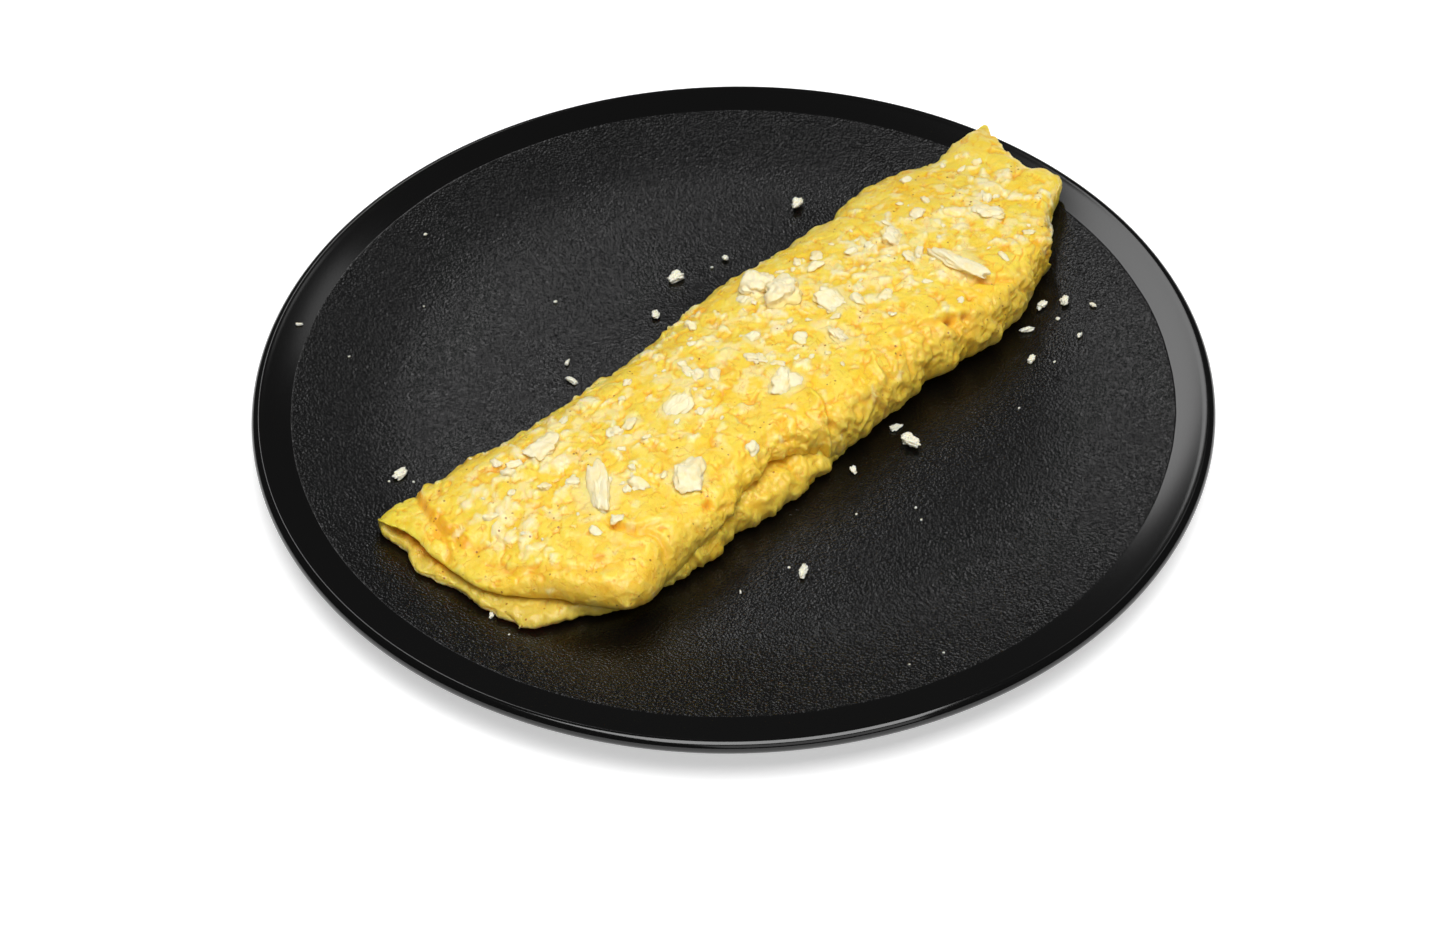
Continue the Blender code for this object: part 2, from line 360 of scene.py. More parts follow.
# ---------------------------------------------------------------------------- the plate
@dataclass
class Plate:
    """The coupe plate: a half section turned about Z.

    The floor has a low hump in its middle, curves up outside the foot, and meets a sloping band, which
    ends in a half-round lip.
    """

    radius: float
    height: float
    lip_radius: float = 2.0
    band_inner: float = 119.2
    band_rise: float = 1.7
    foot_radius: float = 78.0
    foot_width: float = 5.0
    foot_height: float = 4.0
    foot_bevel: float = 0.6
    floor_height: float = 9.4
    band_crown: float = 0.015
    floor_rows: int = 60
    band_rows: int = 9
    lip_rows: int = 22
    turns: int = 432

    # How far the floor is above its middle: distance from the axis, height.
    RELIEF = [(0, 0.0), (26, 0.0), (34, -0.45), (42, -1.15), (50, -1.6), (58, -1.67), (66, -1.67),
              (74, -1.65), (80, -1.58), (86, -1.37), (92, -0.94), (98, -0.22), (104, 0.71), (110, 1.74),
              (119.2, 3.4)]
    # From the lip to the foot, below: how far inside the edge, and how far below the crest.
    RIM_UNDER = [(5, 5.6), (12, 7.1), (20, 8.2)]

    def top(self, radius: Array) -> Array:
        """Height of the upper surface at a distance from the axis, out to the lip's crest."""
        radius = np.asarray(radius, float)
        floor = self.floor_height + smooth_line(self.RELIEF, radius)
        start, width = self.height - self.band_rise, self.radius - self.lip_radius - self.band_inner
        share = np.clip((radius - self.band_inner) / width, 0, 1)
        band = start + self.band_rise * (share + self.band_crown * np.sin(math.pi * share))
        return np.where(radius < self.band_inner, floor, np.minimum(band, self.height))

    def section(self) -> Array:
        """The half section as (radius, height) rows: over the floor, round the lip, back to the axis."""
        floor = np.linspace(0, self.band_inner - 0.5, self.floor_rows)
        edge = self.band_inner + np.array([-0.3, 0.0, 0.3])
        band = np.linspace(self.band_inner + 1, self.radius - self.lip_radius - 1.0, self.band_rows)
        upper = np.concatenate([floor, edge, band])
        angle = np.radians(np.linspace(100, -60, self.lip_rows))
        centre = np.array([self.radius - self.lip_radius, self.height - self.lip_radius])
        lip = centre + self.lip_radius * np.stack([np.cos(angle), np.sin(angle)], 1)
        outside, inside, rise = self.foot_radius, self.foot_radius - self.foot_width, self.foot_height
        under = [*((self.radius - inset, self.height - drop) for inset, drop in self.RIM_UNDER),
                 (self.radius - 38, rise + 0.6), (outside + 3, rise), (outside, rise - 1.2),
                 (outside, self.foot_bevel), (outside - self.foot_bevel, 0), (inside + self.foot_bevel, 0),
                 (inside, self.foot_bevel), (inside - 1.2, rise), (0.5 * inside, rise), (0, rise)]
        return np.concatenate([np.stack([upper, self.top(upper)], 1), lip, np.array(under, float)])

    def shape(self) -> Shape:
        """Turns the section about Z: point (r, z) goes to (r cos a, r sin a, z) at each angle a."""
        section = self.section()
        ring = section[1:-1]
        angle = np.linspace(0, 2 * math.pi, self.turns, endpoint=False)
        points = np.stack([ring[:, None, 0] * np.cos(angle), ring[:, None, 0] * np.sin(angle),
                           np.broadcast_to(ring[:, None, 1], (len(ring), self.turns))], 2)
        count = len(ring) * self.turns
        numbers = np.arange(count).reshape(len(ring), self.turns)
        numbers = np.concatenate([numbers, numbers[:, :1]], 1)
        caps = [fan_faces(numbers[0], count, 1), fan_faces(numbers[-1], count + 1, -1)]
        poles = np.array([[0, 0, section[0, 1]], [0, 0, section[-1, 1]]])
        faces = np.concatenate([grid_faces(numbers), *caps])
        return Shape(np.concatenate([points.reshape(-1, 3), poles]), faces)


# ---------------------------------------------------------------------------- the omelette
@dataclass(frozen=True)
class Crease:
    """A groove pressed into the egg along a path in the plane, or a ridge where the depth is negative.

    Its step is how far the egg on its left stands up, and its recess shade is how much painted orange shade
    its groove gets, 0 to 1.
    """

    path: tuple[Point2, ...]
    depth: float
    width: float
    step: float = 0.0
    recess_shade: float = 0.0


@dataclass(frozen=True)
class Hole:
    """A small round pit in the egg, and how brown its middle is, 0 to 1: painted shade in a deep hole, a
    brown speck in a shallow one.
    """

    x: float
    y: float
    radius: float
    depth: float
    brown: float


@dataclass
class Outline:
    """Four smooth edges, in the plane, that meet at the corners of a sheet of egg."""

    front: list[Point2]
    back: list[Point2]
    left: list[Point2]
    right: list[Point2]

    @staticmethod
    def along(edge: list[Point2], shares: Array) -> Array:
        """The (x, y) places at shares, 0 to 1 of the chord length, on a smooth curve through an edge."""
        corners = np.array(edge, float)
        steps = np.linalg.norm(np.diff(corners, axis=0), axis=1)
        begins = np.concatenate([[0], np.cumsum(steps)]) / steps.sum()
        return np.stack([smooth_line(list(zip(begins, corners[:, axis])), shares) for axis in (0, 1)], -1)

    def places(self, u: Array, v: Array) -> Array:
        """A Coons patch: the blends of facing edges, added, less the blend of the corners.

        Args:
            u: Shares from the left end to the right.
            v: Shares from the front to the back, of the same shape.

        Returns:
            (..., 2) places.
        """
        front, back = self.along(self.front, u), self.along(self.back, u)
        left, right = self.along(self.left, v), self.along(self.right, v)
        corners = [np.array(corner, float) for corner in
                   (self.front[0], self.back[0], self.front[-1], self.back[-1])]
        u, v = u[..., None], v[..., None]
        blend = ((1 - u) * ((1 - v) * corners[0] + v * corners[1])
                 + u * ((1 - v) * corners[2] + v * corners[3]))
        return (1 - v) * front + v * back + (1 - u) * left + u * right - blend


@dataclass
class Fold:
    """One layer of the omelette: a closed pillow whose plan is an outline.

    The upper surface is a fine grid, closer where it turns down at the edges, and the under surface is a
    few rings that close on one point. Their heights leave the edge's level as superellipses of the
    distance to each edge: front, back, left and right widths, and one power. The edge's level is a share
    of the way from the under surface up to the upper one.
    """

    name: str
    outline: Outline
    widths: tuple[float, float, float, float]
    power: float
    level: float
    along: int
    across: int
    insets: tuple[float, ...] = (0.25, 0.8, 1.8, 3.5, 7.0, 14.0)

    SAMPLES = 8001  # along the section that the even shares are read from
    RISE = 0.8  # that section's height, over the width of its last edge
    FADE = 5.0  # how far in the relief of the edge goes on under the layer

    def low(self, places: Array) -> Array:
        """Height of the under surface away from the edges, at (..., 2) places."""
        raise NotImplementedError

    def high(self, places: Array) -> Array:
        """Height of the upper surface away from the edges, at (..., 2) places."""
        raise NotImplementedError

    def relief(self, points: Array, normals: Array) -> tuple[Array, dict[str, Array]]:
        """How far each point stands out along its normal, and the masks that the finish reads."""
        raise NotImplementedError

    def rounding(self, u: Array, v: Array, places: Array) -> Array:
        """0 on the outline and 1 away from it: the product of a superellipse for each edge.

        Args:
            u: Shares from the left end to the right.
            v: Shares from the front to the back.
            places: The (..., 2) places at u, v.

        Returns:
            Shares of the same shape as u.
        """
        zero, one = np.zeros_like(u), np.ones_like(u)
        share = np.ones_like(u)
        for ends, width in zip(((u, zero), (u, one), (zero, v), (one, v)), self.widths):
            gap = np.linalg.norm(places - self.outline.places(*ends), axis=-1)
            share = share * self.rounded(gap / width)
        return share

    def rounded(self, gap: Array) -> Array:
        """A superellipse's height, 0 to 1, at a distance from its edge, in widths."""
        return (1 - (1 - np.clip(gap, 0, 1)) ** self.power) ** (1 / self.power)

    def surface(self, u: Array, v: Array, upper: bool) -> Array:
        """Points of the smooth pillow, before any relief.

        Args:
            u: Shares from the left end to the right.
            v: Shares from the front to the back.
            upper: Whether the upper surface is wanted, or the under one.

        Returns:
            (..., 3) points.
        """
        places = self.outline.places(u, v)
        low, high = self.low(places), self.high(places)
        middle = low + self.level * (high - low)
        heights = middle + ((high if upper else low) - middle) * self.rounding(u, v, places)
        return np.concatenate([places, heights[..., None]], -1)

    def even_shares(self, length: float, begin: float, end: float, count: int) -> Array:
        """Shares whose points are evenly spaced along a section that is rounded at both ends.

        Args:
            length: The section's length.
            begin: Width of the rounding where it begins.
            end: Width of the rounding where it ends.
            count: How many shares are wanted.

        Returns:
            Shares from 0 to 1.
        """
        fine = np.linspace(0, 1, self.SAMPLES)
        height = self.rounded(fine * length / begin) * self.rounded((1 - fine) * length / end)
        steps = np.hypot(np.diff(fine) * length, np.diff(self.RISE * end * height))
        travelled = np.concatenate([[0], np.cumsum(steps)])
        return np.interp(np.linspace(0, travelled[-1], count), travelled, fine)

    def shape(self) -> Shape:
        """Works out the whole closed pillow with its relief.

        Under the layer, each ring lies an inset further in than the edge and takes along a share of the
        edge's relief, e^(-inset / FADE). The last ring closes on a pole.

        Returns:
            The shape, with its masks.
        """
        front, back, left, right = self.widths
        corner = np.array(self.outline.front[0])
        chord = np.linalg.norm(self.outline.front[-1] - corner)
        breadth = np.linalg.norm(self.outline.back[0] - corner)
        u, v = np.meshgrid(self.even_shares(chord, left, right, self.along),
                           self.even_shares(breadth, front, back, self.across), indexing="ij")
        base = self.surface(u, v, True)
        normals = grid_normals(base)
        lift, masks = self.relief(base, normals)
        moved = base + normals * lift[..., None]

        numbers = np.arange(self.along * self.across).reshape(self.along, self.across)
        loop = np.concatenate([numbers[:-1, 0], numbers[-1, :-1], numbers[:0:-1, -1], numbers[0, :0:-1]])
        shift = (moved - base).reshape(-1, 3)[loop]
        u_edge, v_edge = u.ravel()[loop], v.ravel()[loop]
        rings = []
        for inset in self.insets:
            u_ring = 0.5 + (u_edge - 0.5) * (1 - 2 * inset / chord)
            v_ring = 0.5 + (v_edge - 0.5) * (1 - 2 * inset / breadth)
            rings.append(self.surface(u_ring, v_ring, False) + shift * math.exp(-inset / self.FADE))
        pole = self.surface(np.array([0.5]), np.array([0.5]), False)

        added = numbers.size + np.arange(len(rings) * len(loop)).reshape(len(rings), len(loop))
        under = np.concatenate([loop[None], added])
        under = np.concatenate([under, under[:, :1]], 1)
        closing = fan_faces(under[-1], numbers.size + added.size, -1)
        flat = {name: values.ravel() for name, values in masks.items()}
        every = {name: np.concatenate([values, np.tile(values[loop], len(rings)), [values.mean()]])
                 for name, values in flat.items()}
        points = self.settled(np.concatenate([moved.reshape(-1, 3), *rings, pole]))
        return Shape(points, np.concatenate([grid_faces(numbers), grid_faces(under), closing]), every)

    def settled(self, points: Array) -> Array:
        """Lifts points that the relief pushed into what the layer lies on."""
        raise NotImplementedError


class Pattern(IntEnum):
    """What is added to a layer's seed, so that each of its noises is a different one."""

    SWELLS = 0
    CREASE_BEND = 5
    DENTS = 21
    CRUMPLE_BEND = 40
    CRUMPLE_COARSE = 45
    CRUMPLE_PUFFS = 46
    CRUMPLE_FINE = 47
    DASH_LINES = 60
    DASH_PLACES = 61
    FRILL = 70
    GRAIN = 80
    PITS = 90
    CURD_BEND = 100
    CURDS = 104
    SMALL_CURDS = 107
    SEAM_PLACES = 108
    CALM = 120
    RIDGES = 130
    FINE_RIDGES = 140
    MELT_PATCHES = 200
    MELT_BEND = 204
    MELT_LUMPS = 210
    MELT_PLACES = 220
    STREAKS = 300


class EggRelief:
    """The texture that every layer of egg shares, as shares of a height or masks of 0 to 1.

    A size is the width of a noise's cell, in millimetres.
    """

    LEAN, SQUASH = 0.55, 0.62  # how far crumples lean, and how much they are drawn out, down a side
    CRUMPLE_BEND_SIZE, CRUMPLE_BEND_REACH = 10.0, 3.4
    COARSE_SIZE, PUFF_SIZE, FINE_SIZE = 8.5, 6.0, 3.3
    CURD_BEND_SIZE, CURD_BEND_REACH = 5.0, 1.5
    CURD_SIZE, SMALL_CURD_SIZE = 4.6, 2.4
    SEAM_WIDTH, SEAM_PLACE_SIZE = 0.13, 5.5
    DASH_WIDTH, DASH_LINE_SIZE, DASH_PLACE_SIZE = 0.14, 3.8, 3.2
    MEAN_CRUMPLE, MEAN_CURD, MEAN_RIDGE = 0.52, 0.72, 0.78  # so that they neither raise nor sink the egg

    def __init__(self, seed: int) -> None:
        """Keeps the seed that tells one layer's pattern from another's."""
        self.seed = seed

    def swells(self, points: Array) -> Array:
        """Soft swells, 12 to 26 mm across, of about -1 to 1."""
        return Noise.fractal(points, 26, 2, self.seed + Pattern.SWELLS)

    def dents(self, points: Array) -> Array:
        """Shallow dents, 3 to 9 mm across, of about -1 to 1."""
        return Noise.fractal(points, 9.0, 3, self.seed + Pattern.DENTS, 0.55)

    def crumple(self, points: Array) -> Array:
        """Folds of a crushed sheet, 4 to 10 mm wide, that lean as they go down a side; 0 to 1.

        The places are bent by noise first. Sharp crests and sharp creases are then added: 1 - |n| of a
        coarse noise n, |m| of a finer one m, and a finer 1 - |n| that shows on the coarse crests.
        """
        x, y, z = points[..., 0], points[..., 1], points[..., 2]
        leaning = np.stack([x + self.LEAN * z, y, self.SQUASH * z], -1)
        bend = Noise.bend(leaning, self.CRUMPLE_BEND_SIZE, 17.3, self.seed + Pattern.CRUMPLE_BEND)
        bent = leaning + self.CRUMPLE_BEND_REACH * bend
        coarse = 1 - np.abs(Noise.gradient(bent / self.COARSE_SIZE, self.seed + Pattern.CRUMPLE_COARSE))
        puffs = np.abs(Noise.gradient(bent / self.PUFF_SIZE, self.seed + Pattern.CRUMPLE_PUFFS))
        puffs = np.minimum(1.5 * puffs, 1)
        fine = 1 - np.abs(Noise.gradient(bent / self.FINE_SIZE, self.seed + Pattern.CRUMPLE_FINE))
        return 0.45 * coarse**1.5 + 0.33 * puffs + 0.22 * fine * (0.3 + 0.7 * coarse)

    def curds(self, points: Array) -> tuple[Array, Array]:
        """Soft curds, 2 to 5 mm across, of 0 to 1, and a mask of some of the seams between them.

        The points are bent by noise first. A curd is 1 - d^2 for the distance d to its middle, in cells.
        """
        bend = Noise.bend(points, self.CURD_BEND_SIZE, 11.7, self.seed + Pattern.CURD_BEND)
        bent = points + self.CURD_BEND_REACH * bend
        first, second, _ = Noise.cells(bent, self.CURD_SIZE, self.seed + Pattern.CURDS)
        small, _, _ = Noise.cells(bent, self.SMALL_CURD_SIZE, self.seed + Pattern.SMALL_CURDS)
        some = Noise.gradient(points / self.SEAM_PLACE_SIZE, self.seed + Pattern.SEAM_PLACES)
        seams = smoothstep(self.SEAM_WIDTH, 0.02, second - first) * smoothstep(0.02, 0.28, some)
        return 0.6 * (1 - first**2) + 0.4 * (1 - small**2), seams

    def dashes(self, points: Array) -> Array:
        """Short thin grooves, 2 to 4 mm long: where one noise is near 0 and another is high; 1 inside."""
        line = np.abs(Noise.gradient(points / self.DASH_LINE_SIZE, self.seed + Pattern.DASH_LINES))
        some = Noise.gradient(points / self.DASH_PLACE_SIZE, self.seed + Pattern.DASH_PLACES)
        return smoothstep(self.DASH_WIDTH, 0.02, line) * smoothstep(0.12, 0.40, some)

    def grain(self, points: Array) -> Array:
        """Fine unevenness, 1 to 2 mm across, of about -1 to 1."""
        return Noise.fractal(points, 2.4, 2, self.seed + Pattern.GRAIN)

    def ridges(self, points: Array) -> tuple[Array, Array]:
        """Sharp ridges, 4 and 2 mm apart, 0 to 1 each."""
        return (Noise.ridged(points, 4.2, 2, self.seed + Pattern.RIDGES),
                Noise.ridged(points, 2.1, 2, self.seed + Pattern.FINE_RIDGES))

    def pits(self, points: Array, share: float, size: float, radius: float) -> Array:
        """Small round hollows in a share of the cells; 1 at a hollow's middle and 0 outside it."""
        first, _, tone = Noise.cells(points, size, self.seed + Pattern.PITS)
        return np.where(tone < share, smoothstep(radius, 0.15 * radius, first), 0.0)


@dataclass
class EggLayer(Fold):
    """A fold of egg that lies over the plate, with the texture of cooked egg."""

    plate: Plate | None = None
    seed: int = 1
    creases: tuple[Crease, ...] = ()
    holes: tuple[Hole, ...] = ()
    clearance: float = 0.3
    filled: float = 10.5

    LEAST_GAP = 0.12  # between the relief and the plate
    BEND_SIZE, BEND_REACH = 4.0, 0.8  # of the noise that bends the creases
    GROOVE_END, LEDGE_END, LEDGE_FADE = 8.0, 12.0, 6.0  # distances from a crease

    def floor(self, places: Array) -> Array:
        """Height at which the egg touches the plate."""
        return self.plate.top(np.linalg.norm(places, axis=-1)) + self.clearance

    def seat(self, places: Array) -> Array:
        """The level that the layers' heights are measured from: the plate, with its middle filled up."""
        return np.maximum(self.floor(places), self.filled)

    def pressed(self, places: Array) -> tuple[Array, Array, Array]:
        """All the creases and holes together.

        At a distance d a crease's groove is e^-(d / width)^2 of its depth, and the ledge on its left falls
        off as e^(-|d| / LEDGE_FADE). A hole is e^-(d / radius)^2 of its depth.

        Args:
            places: (..., 2) places.

        Returns:
            The height that they add, a mask of the grooves, and the painted orange shade in the grooves and
            holes.
        """
        height, mask, recess_shade = (np.zeros(places.shape[:-1]) for _ in range(3))
        level = np.concatenate([places, 0 * places[..., :1]], -1)
        bend = self.BEND_REACH * Noise.gradient(level / self.BEND_SIZE, self.seed + Pattern.CREASE_BEND)
        for crease in self.creases:
            gap, side, along = distance_to_path(places, list(crease.path))
            ends = smoothstep(0.0, 0.15, along) * smoothstep(1.0, 0.85, along)
            signed = gap * side + bend
            groove = np.exp(-((signed / crease.width) ** 2)) * np.where(gap < self.GROOVE_END, ends, 0)
            ledge = crease.step * smoothstep(-1.2 * crease.width, 0, signed)
            ledge = ledge * np.exp(-np.abs(signed) / self.LEDGE_FADE) * ends
            height = height - crease.depth * groove + np.where(gap < self.LEDGE_END, ledge, 0)
            mask = np.maximum(mask, groove * (crease.depth > 0))
            # Painted shade: orange laid in the crease's groove.
            recess_shade = np.maximum(recess_shade, groove * crease.recess_shade)
        for hole in self.holes:
            pit = np.exp(-((gap_to(places, hole.x, hole.y) / hole.radius) ** 2))
            height = height - hole.depth * pit
            # Painted shade: orange laid in the hole, which also joins the groove mask.
            mask, recess_shade = np.maximum(mask, pit), np.maximum(recess_shade, 0.8 * pit)
        return height, mask, recess_shade

    def brown_speck_and_hole_shade(self, places: Array) -> Array:
        """Where the middle of a hole is brown, at (..., 2) places; 0 to 1: painted shade in the deep holes,
        a brown speck in the shallow one.
        """
        brown = np.zeros(places.shape[:-1])
        for hole in self.holes:
            middle = smoothstep(0.9 * hole.radius, 0.3 * hole.radius, gap_to(places, hole.x, hole.y))
            brown = np.maximum(brown, hole.brown * middle)
        return brown

    def settled(self, points: Array) -> Array:
        """Lifts points that the relief pushed into the plate."""
        lowest = self.plate.top(np.minimum(np.linalg.norm(points[:, :2], axis=1), self.plate.radius))
        points[:, 2] = np.maximum(points[:, 2], lowest + self.LEAST_GAP)
        return points


@dataclass
class UpperFold(EggLayer):
    """The top layer: a long cushion that is thickest in the middle and lies over everything else."""

    thickness: float = 17.0
    crumbles: tuple[tuple[float, float, float], ...] = ()

    # Along x or across y: how thick the layer is, as a share, and how far its front edge is lifted.
    CROWN_ALONG = [(-106, 0.38), (-98, 0.42), (-92, 0.50), (-86, 0.64), (-72, 0.82), (-40, 0.94), (0, 1.0),
                   (45, 0.97), (80, 0.88), (104, 0.74), (127, 0.48)]
    CROWN_ACROSS = [(-48, 0.90), (-30, 1.0), (-8, 1.02), (10, 0.92), (24, 0.74), (38, 0.60)]
    FRONT_LIFT = [(-90, 3.4), (-77, 2.2), (-66, 1.2), (-54, 1.6), (-44, 4.0), (-34, 6.6), (-24, 7.4),
                  (-12, 6.0), (-2, 1.0), (10, 0.3), (26, 0.4), (36, 0.6), (50, 0.6), (60, 0.4), (72, 0.3),
                  (120, 0.2)]
    LEFT_LIFT, MOUTH_UNDER, MOUTH_OVER = 3.3, 1.5, 1.4

    # Ranges of x or y in which something sets in: where it is none, and where it is all.
    MOUTH_X, MOUTH_FRONT, MOUTH_BACK = (-90, -101), (-2, 6), (25, 17)
    LIFT_FRONT, LIFT_LEFT, LIFT_BACK = (-14, -32), (-82, -95), (26, 21)
    FRONT, NEAR_FRONT, BACK = (-8, -26), (-6, -30), (6, 20)
    NOSE_X, EVEN_X, EVEN_Y = (-46, -60), (-40, -56), (-14, -28)
    MELT_LEFT, MELT_RIGHT = (-98, -84), (118, 100)
    STEEP = (0.95, 0.62)  # of the normal's height

    # How far each texture stands out or in.
    SWELLS, DENTS, CURDS, SEAMS, DASHES, PITS = 0.8, 0.5, 0.62, 0.40, 0.42, 0.45
    CRUMPLE_STEEP, CRUMPLE_NEAR, CRUMPLE_FRONT, CRUMPLE_BACK = 0.4, 0.25, 2.2, 1.8
    RIDGES_FRONT, FINE_RIDGES, FINE_RIDGES_FRONT = 1.4, 0.15, 0.55
    GRAIN, GRAIN_STEEP, PATCHES, LUMPS = 0.14, 0.12, 0.12, 0.65

    MELT_MIDDLE, MELT_WIDTH = -3.0, 21.0  # of the band of melted cheese, across y
    LUMP_SIZES = ((3.4, 1.0), (5.2, 0.7))  # widths of the lumps' cells, and how common each is
    # Orange spots: x, y, radius, strength.
    SPOTS = ((-75.3, -33.3, 1.9, 1.0), (57.8, -0.5, 4.5, 0.9), (-76.0, 10.0, 3.0, 0.5),
             (-94.5, -3.0, 2.0, 1.0), (4.0, 8.0, 2.6, 0.5), (38.0, -16.0, 2.4, 0.4),
             (-55.0, -24.0, 3.5, 0.5), (5.0, 19.0, 2.4, 0.9), (92.0, 26.0, 3.0, 0.7))

    def mouth(self, places: Array) -> Array:
        """1 where the layer arches up at the left end, at the back, so that its fold gapes."""
        x, y = places[..., 0], places[..., 1]
        share = smoothstep(*self.MOUTH_X, x) * smoothstep(*self.MOUTH_FRONT, y)
        return share * smoothstep(*self.MOUTH_BACK, y)

    def low(self, places: Array) -> Array:
        """The plate, raised along the front, where the lower lap comes out, and at the left end."""
        x, y = places[..., 0], places[..., 1]
        front = smooth_line(self.FRONT_LIFT, x) * smoothstep(*self.LIFT_FRONT, y)
        left = self.LEFT_LIFT * smoothstep(*self.LIFT_LEFT, x) * smoothstep(*self.LIFT_BACK, y)
        lift = np.maximum(front, left)
        floor = self.floor(places)
        raised = smoothstep(0.5, 3.0, lift) * (self.seat(places) - floor)
        return floor + lift + raised + self.MOUTH_UNDER * self.mouth(places)

    def high(self, places: Array) -> Array:
        """The crown: a thickness over the plate that varies along and across."""
        x, y = places[..., 0], places[..., 1]
        thick = self.thickness * smooth_line(self.CROWN_ALONG, x) * smooth_line(self.CROWN_ACROSS, y)
        return self.seat(places) + thick + self.MOUTH_OVER * self.mouth(places)

    def relief(self, points: Array, normals: Array) -> tuple[Array, dict[str, Array]]:
        """Adds up the textures: each is its height in millimetres times its share at a point.

        Crumples and ridges belong to the front, where the layer is steep, and are calmer on its left nose.

        Args:
            points: (..., 3) points of the smooth layer.
            normals: Its unit normals there.

        Returns:
            How far each point stands out, and the masks hollow, melt, pale, toast and burnt.
        """
        egg = EggRelief(self.seed)
        x, y = points[..., 0], points[..., 1]
        steep = smoothstep(*self.STEEP, normals[..., 2])
        front, back = steep * smoothstep(*self.FRONT, y), steep * smoothstep(*self.BACK, y)
        near_front = smoothstep(*self.NEAR_FRONT, y)
        nose = 1 - 0.75 * smoothstep(*self.NOSE_X, x)
        even = 1 - 0.7 * smoothstep(*self.EVEN_X, x) * smoothstep(*self.EVEN_Y, y)
        calm = 1 - 0.55 * smoothstep(0.0, 0.4, Noise.gradient(points / 13.0, self.seed + Pattern.CALM))
        dents, crumple = egg.dents(points), egg.crumple(points)
        curds, seams = egg.curds(points)
        seams = seams * (1 - 0.6 * front) * even
        dashes = egg.dashes(points) * (1 - 0.7 * front)
        pits = egg.pits(points, share=0.30, size=3.0, radius=0.18)
        ridges, fine_ridges = egg.ridges(points)
        pressed, groove, recess_shade = self.pressed(points[..., :2])
        patches, lumps = self.melt(points)

        crumpled = self.CRUMPLE_STEEP * steep + self.CRUMPLE_NEAR * near_front + self.CRUMPLE_FRONT * front
        crumpled = crumpled * nose + self.CRUMPLE_BACK * back
        finely_ridged = self.FINE_RIDGES + self.FINE_RIDGES_FRONT * front * nose
        lift = (self.SWELLS * egg.swells(points) + self.DENTS * dents
                + self.CURDS * calm * even * (curds - egg.MEAN_CURD)
                + crumpled * (crumple - egg.MEAN_CRUMPLE)
                + self.RIDGES_FRONT * front * nose * (ridges - egg.MEAN_RIDGE)
                + finely_ridged * (fine_ridges - egg.MEAN_RIDGE)
                - self.DASHES * dashes - self.SEAMS * seams
                + (self.GRAIN + self.GRAIN_STEEP * steep) * egg.grain(points) - self.PITS * pits
                + pressed + self.PATCHES * patches + self.LUMPS * lumps)
        # Painted shade: the shadow colour is laid in dents, in crumple hollows on the front, between curds,
        # and in dashes, seams, pits and grooves.
        hollow_shade = (0.45 * smoothstep(0.0, -0.45, dents) + front * smoothstep(0.50, 0.28, crumple)
                  + 0.5 * smoothstep(0.70, 0.55, curds) + 0.6 * dashes + 0.6 * seams + pits + groove)
        # Painted shade: the steep front is given a darker, duller yellow.
        masks = {"hollow_shade": np.clip(hollow_shade, 0, 1), "melt": np.maximum(0.5 * patches, lumps), "pale_and_shade": front,
                 # Orange: painted shade in pits, dashes, seams, grooves and holes, and real browning in
                 # spots and streaks.
                 "browning_and_shade": np.maximum(self.browning_and_shade(points, pits, np.maximum(dashes, seams)), recess_shade),
                 # Brown hole middles: painted shade in the deep holes, a brown speck in the shallow one.
                 "brown_speck_and_hole_shade": self.brown_speck_and_hole_shade(points[..., :2])}
        return lift, masks

    def melt(self, points: Array) -> tuple[Array, Array]:
        """Melted cheese, thickest along the middle of the top.

        There are thin patches, also round the large crumbles, and soft uneven lumps, 2 to 5 mm wide.
        Across the layer they thin out as e^-(d / width)^2, for the distance d from the band's middle.

        Args:
            points: (..., 3) points.

        Returns:
            The patches and the lumps, 0 to 1 each.
        """
        x, y = points[..., 0], points[..., 1]
        ends = smoothstep(*self.MELT_LEFT, x) * smoothstep(*self.MELT_RIGHT, x)
        band = np.exp(-(((y - self.MELT_MIDDLE) / self.MELT_WIDTH) ** 2)) * ends
        drawn_out = points * np.array([0.9, 1.05, 1.0])
        patches = Noise.fractal(drawn_out, 5.5, 3, self.seed + Pattern.MELT_PATCHES, 0.6)
        bend = np.stack([Noise.fractal(points + 7.3 * axis, 4.5, 2, self.seed + Pattern.MELT_BEND + axis)
                         for axis in range(3)], -1)
        chance = band * (0.50 + 0.8 * Noise.fractal(points, 16, 2, self.seed + Pattern.MELT_PLACES))
        lumps = np.zeros(x.shape)
        for size, share in self.LUMP_SIZES:
            seed = self.seed + Pattern.MELT_LUMPS + int(size)
            first, _, tone = Noise.cells(points + 3.0 * bend, size, seed)
            chosen = smoothstep(0, 0.12, share * chance - tone)
            lumps = np.maximum(lumps, smoothstep(0.62, 0.18, first) * chosen)
        round_crumbles = np.zeros(x.shape)
        for crumb_x, crumb_y, radius in self.crumbles:
            gap = gap_to(points, crumb_x, crumb_y) + 2.0 * bend[..., 0]
            round_crumbles = np.maximum(round_crumbles, smoothstep(1.5 * radius, 0.9 * radius, gap))
        patches = smoothstep(0.0, 0.42, patches + 0.34 * band - 0.20)
        return np.maximum(patches, 0.7 * round_crumbles), lumps

    def browning_and_shade(self, points: Array, pits: Array, dashes: Array) -> Array:
        """Where the egg is deep orange: painted shade in pits, dashes and seams, real browning in a few
        spots and streaks; 0 to 1.
        """
        drawn_out = points * np.array([0.7, 1.2, 1.0])
        streaks = smoothstep(0.22, 0.60, Noise.fractal(drawn_out, 8.0, 3, self.seed + Pattern.STREAKS))
        spots = np.zeros(points.shape[:-1])
        for x, y, radius, strength in self.SPOTS:
            spots = np.maximum(spots, strength * smoothstep(radius, 0.3 * radius, gap_to(points, x, y)))
        return np.clip(0.12 * streaks + 0.6 * pits + 0.7 * dashes + spots, 0, 1)


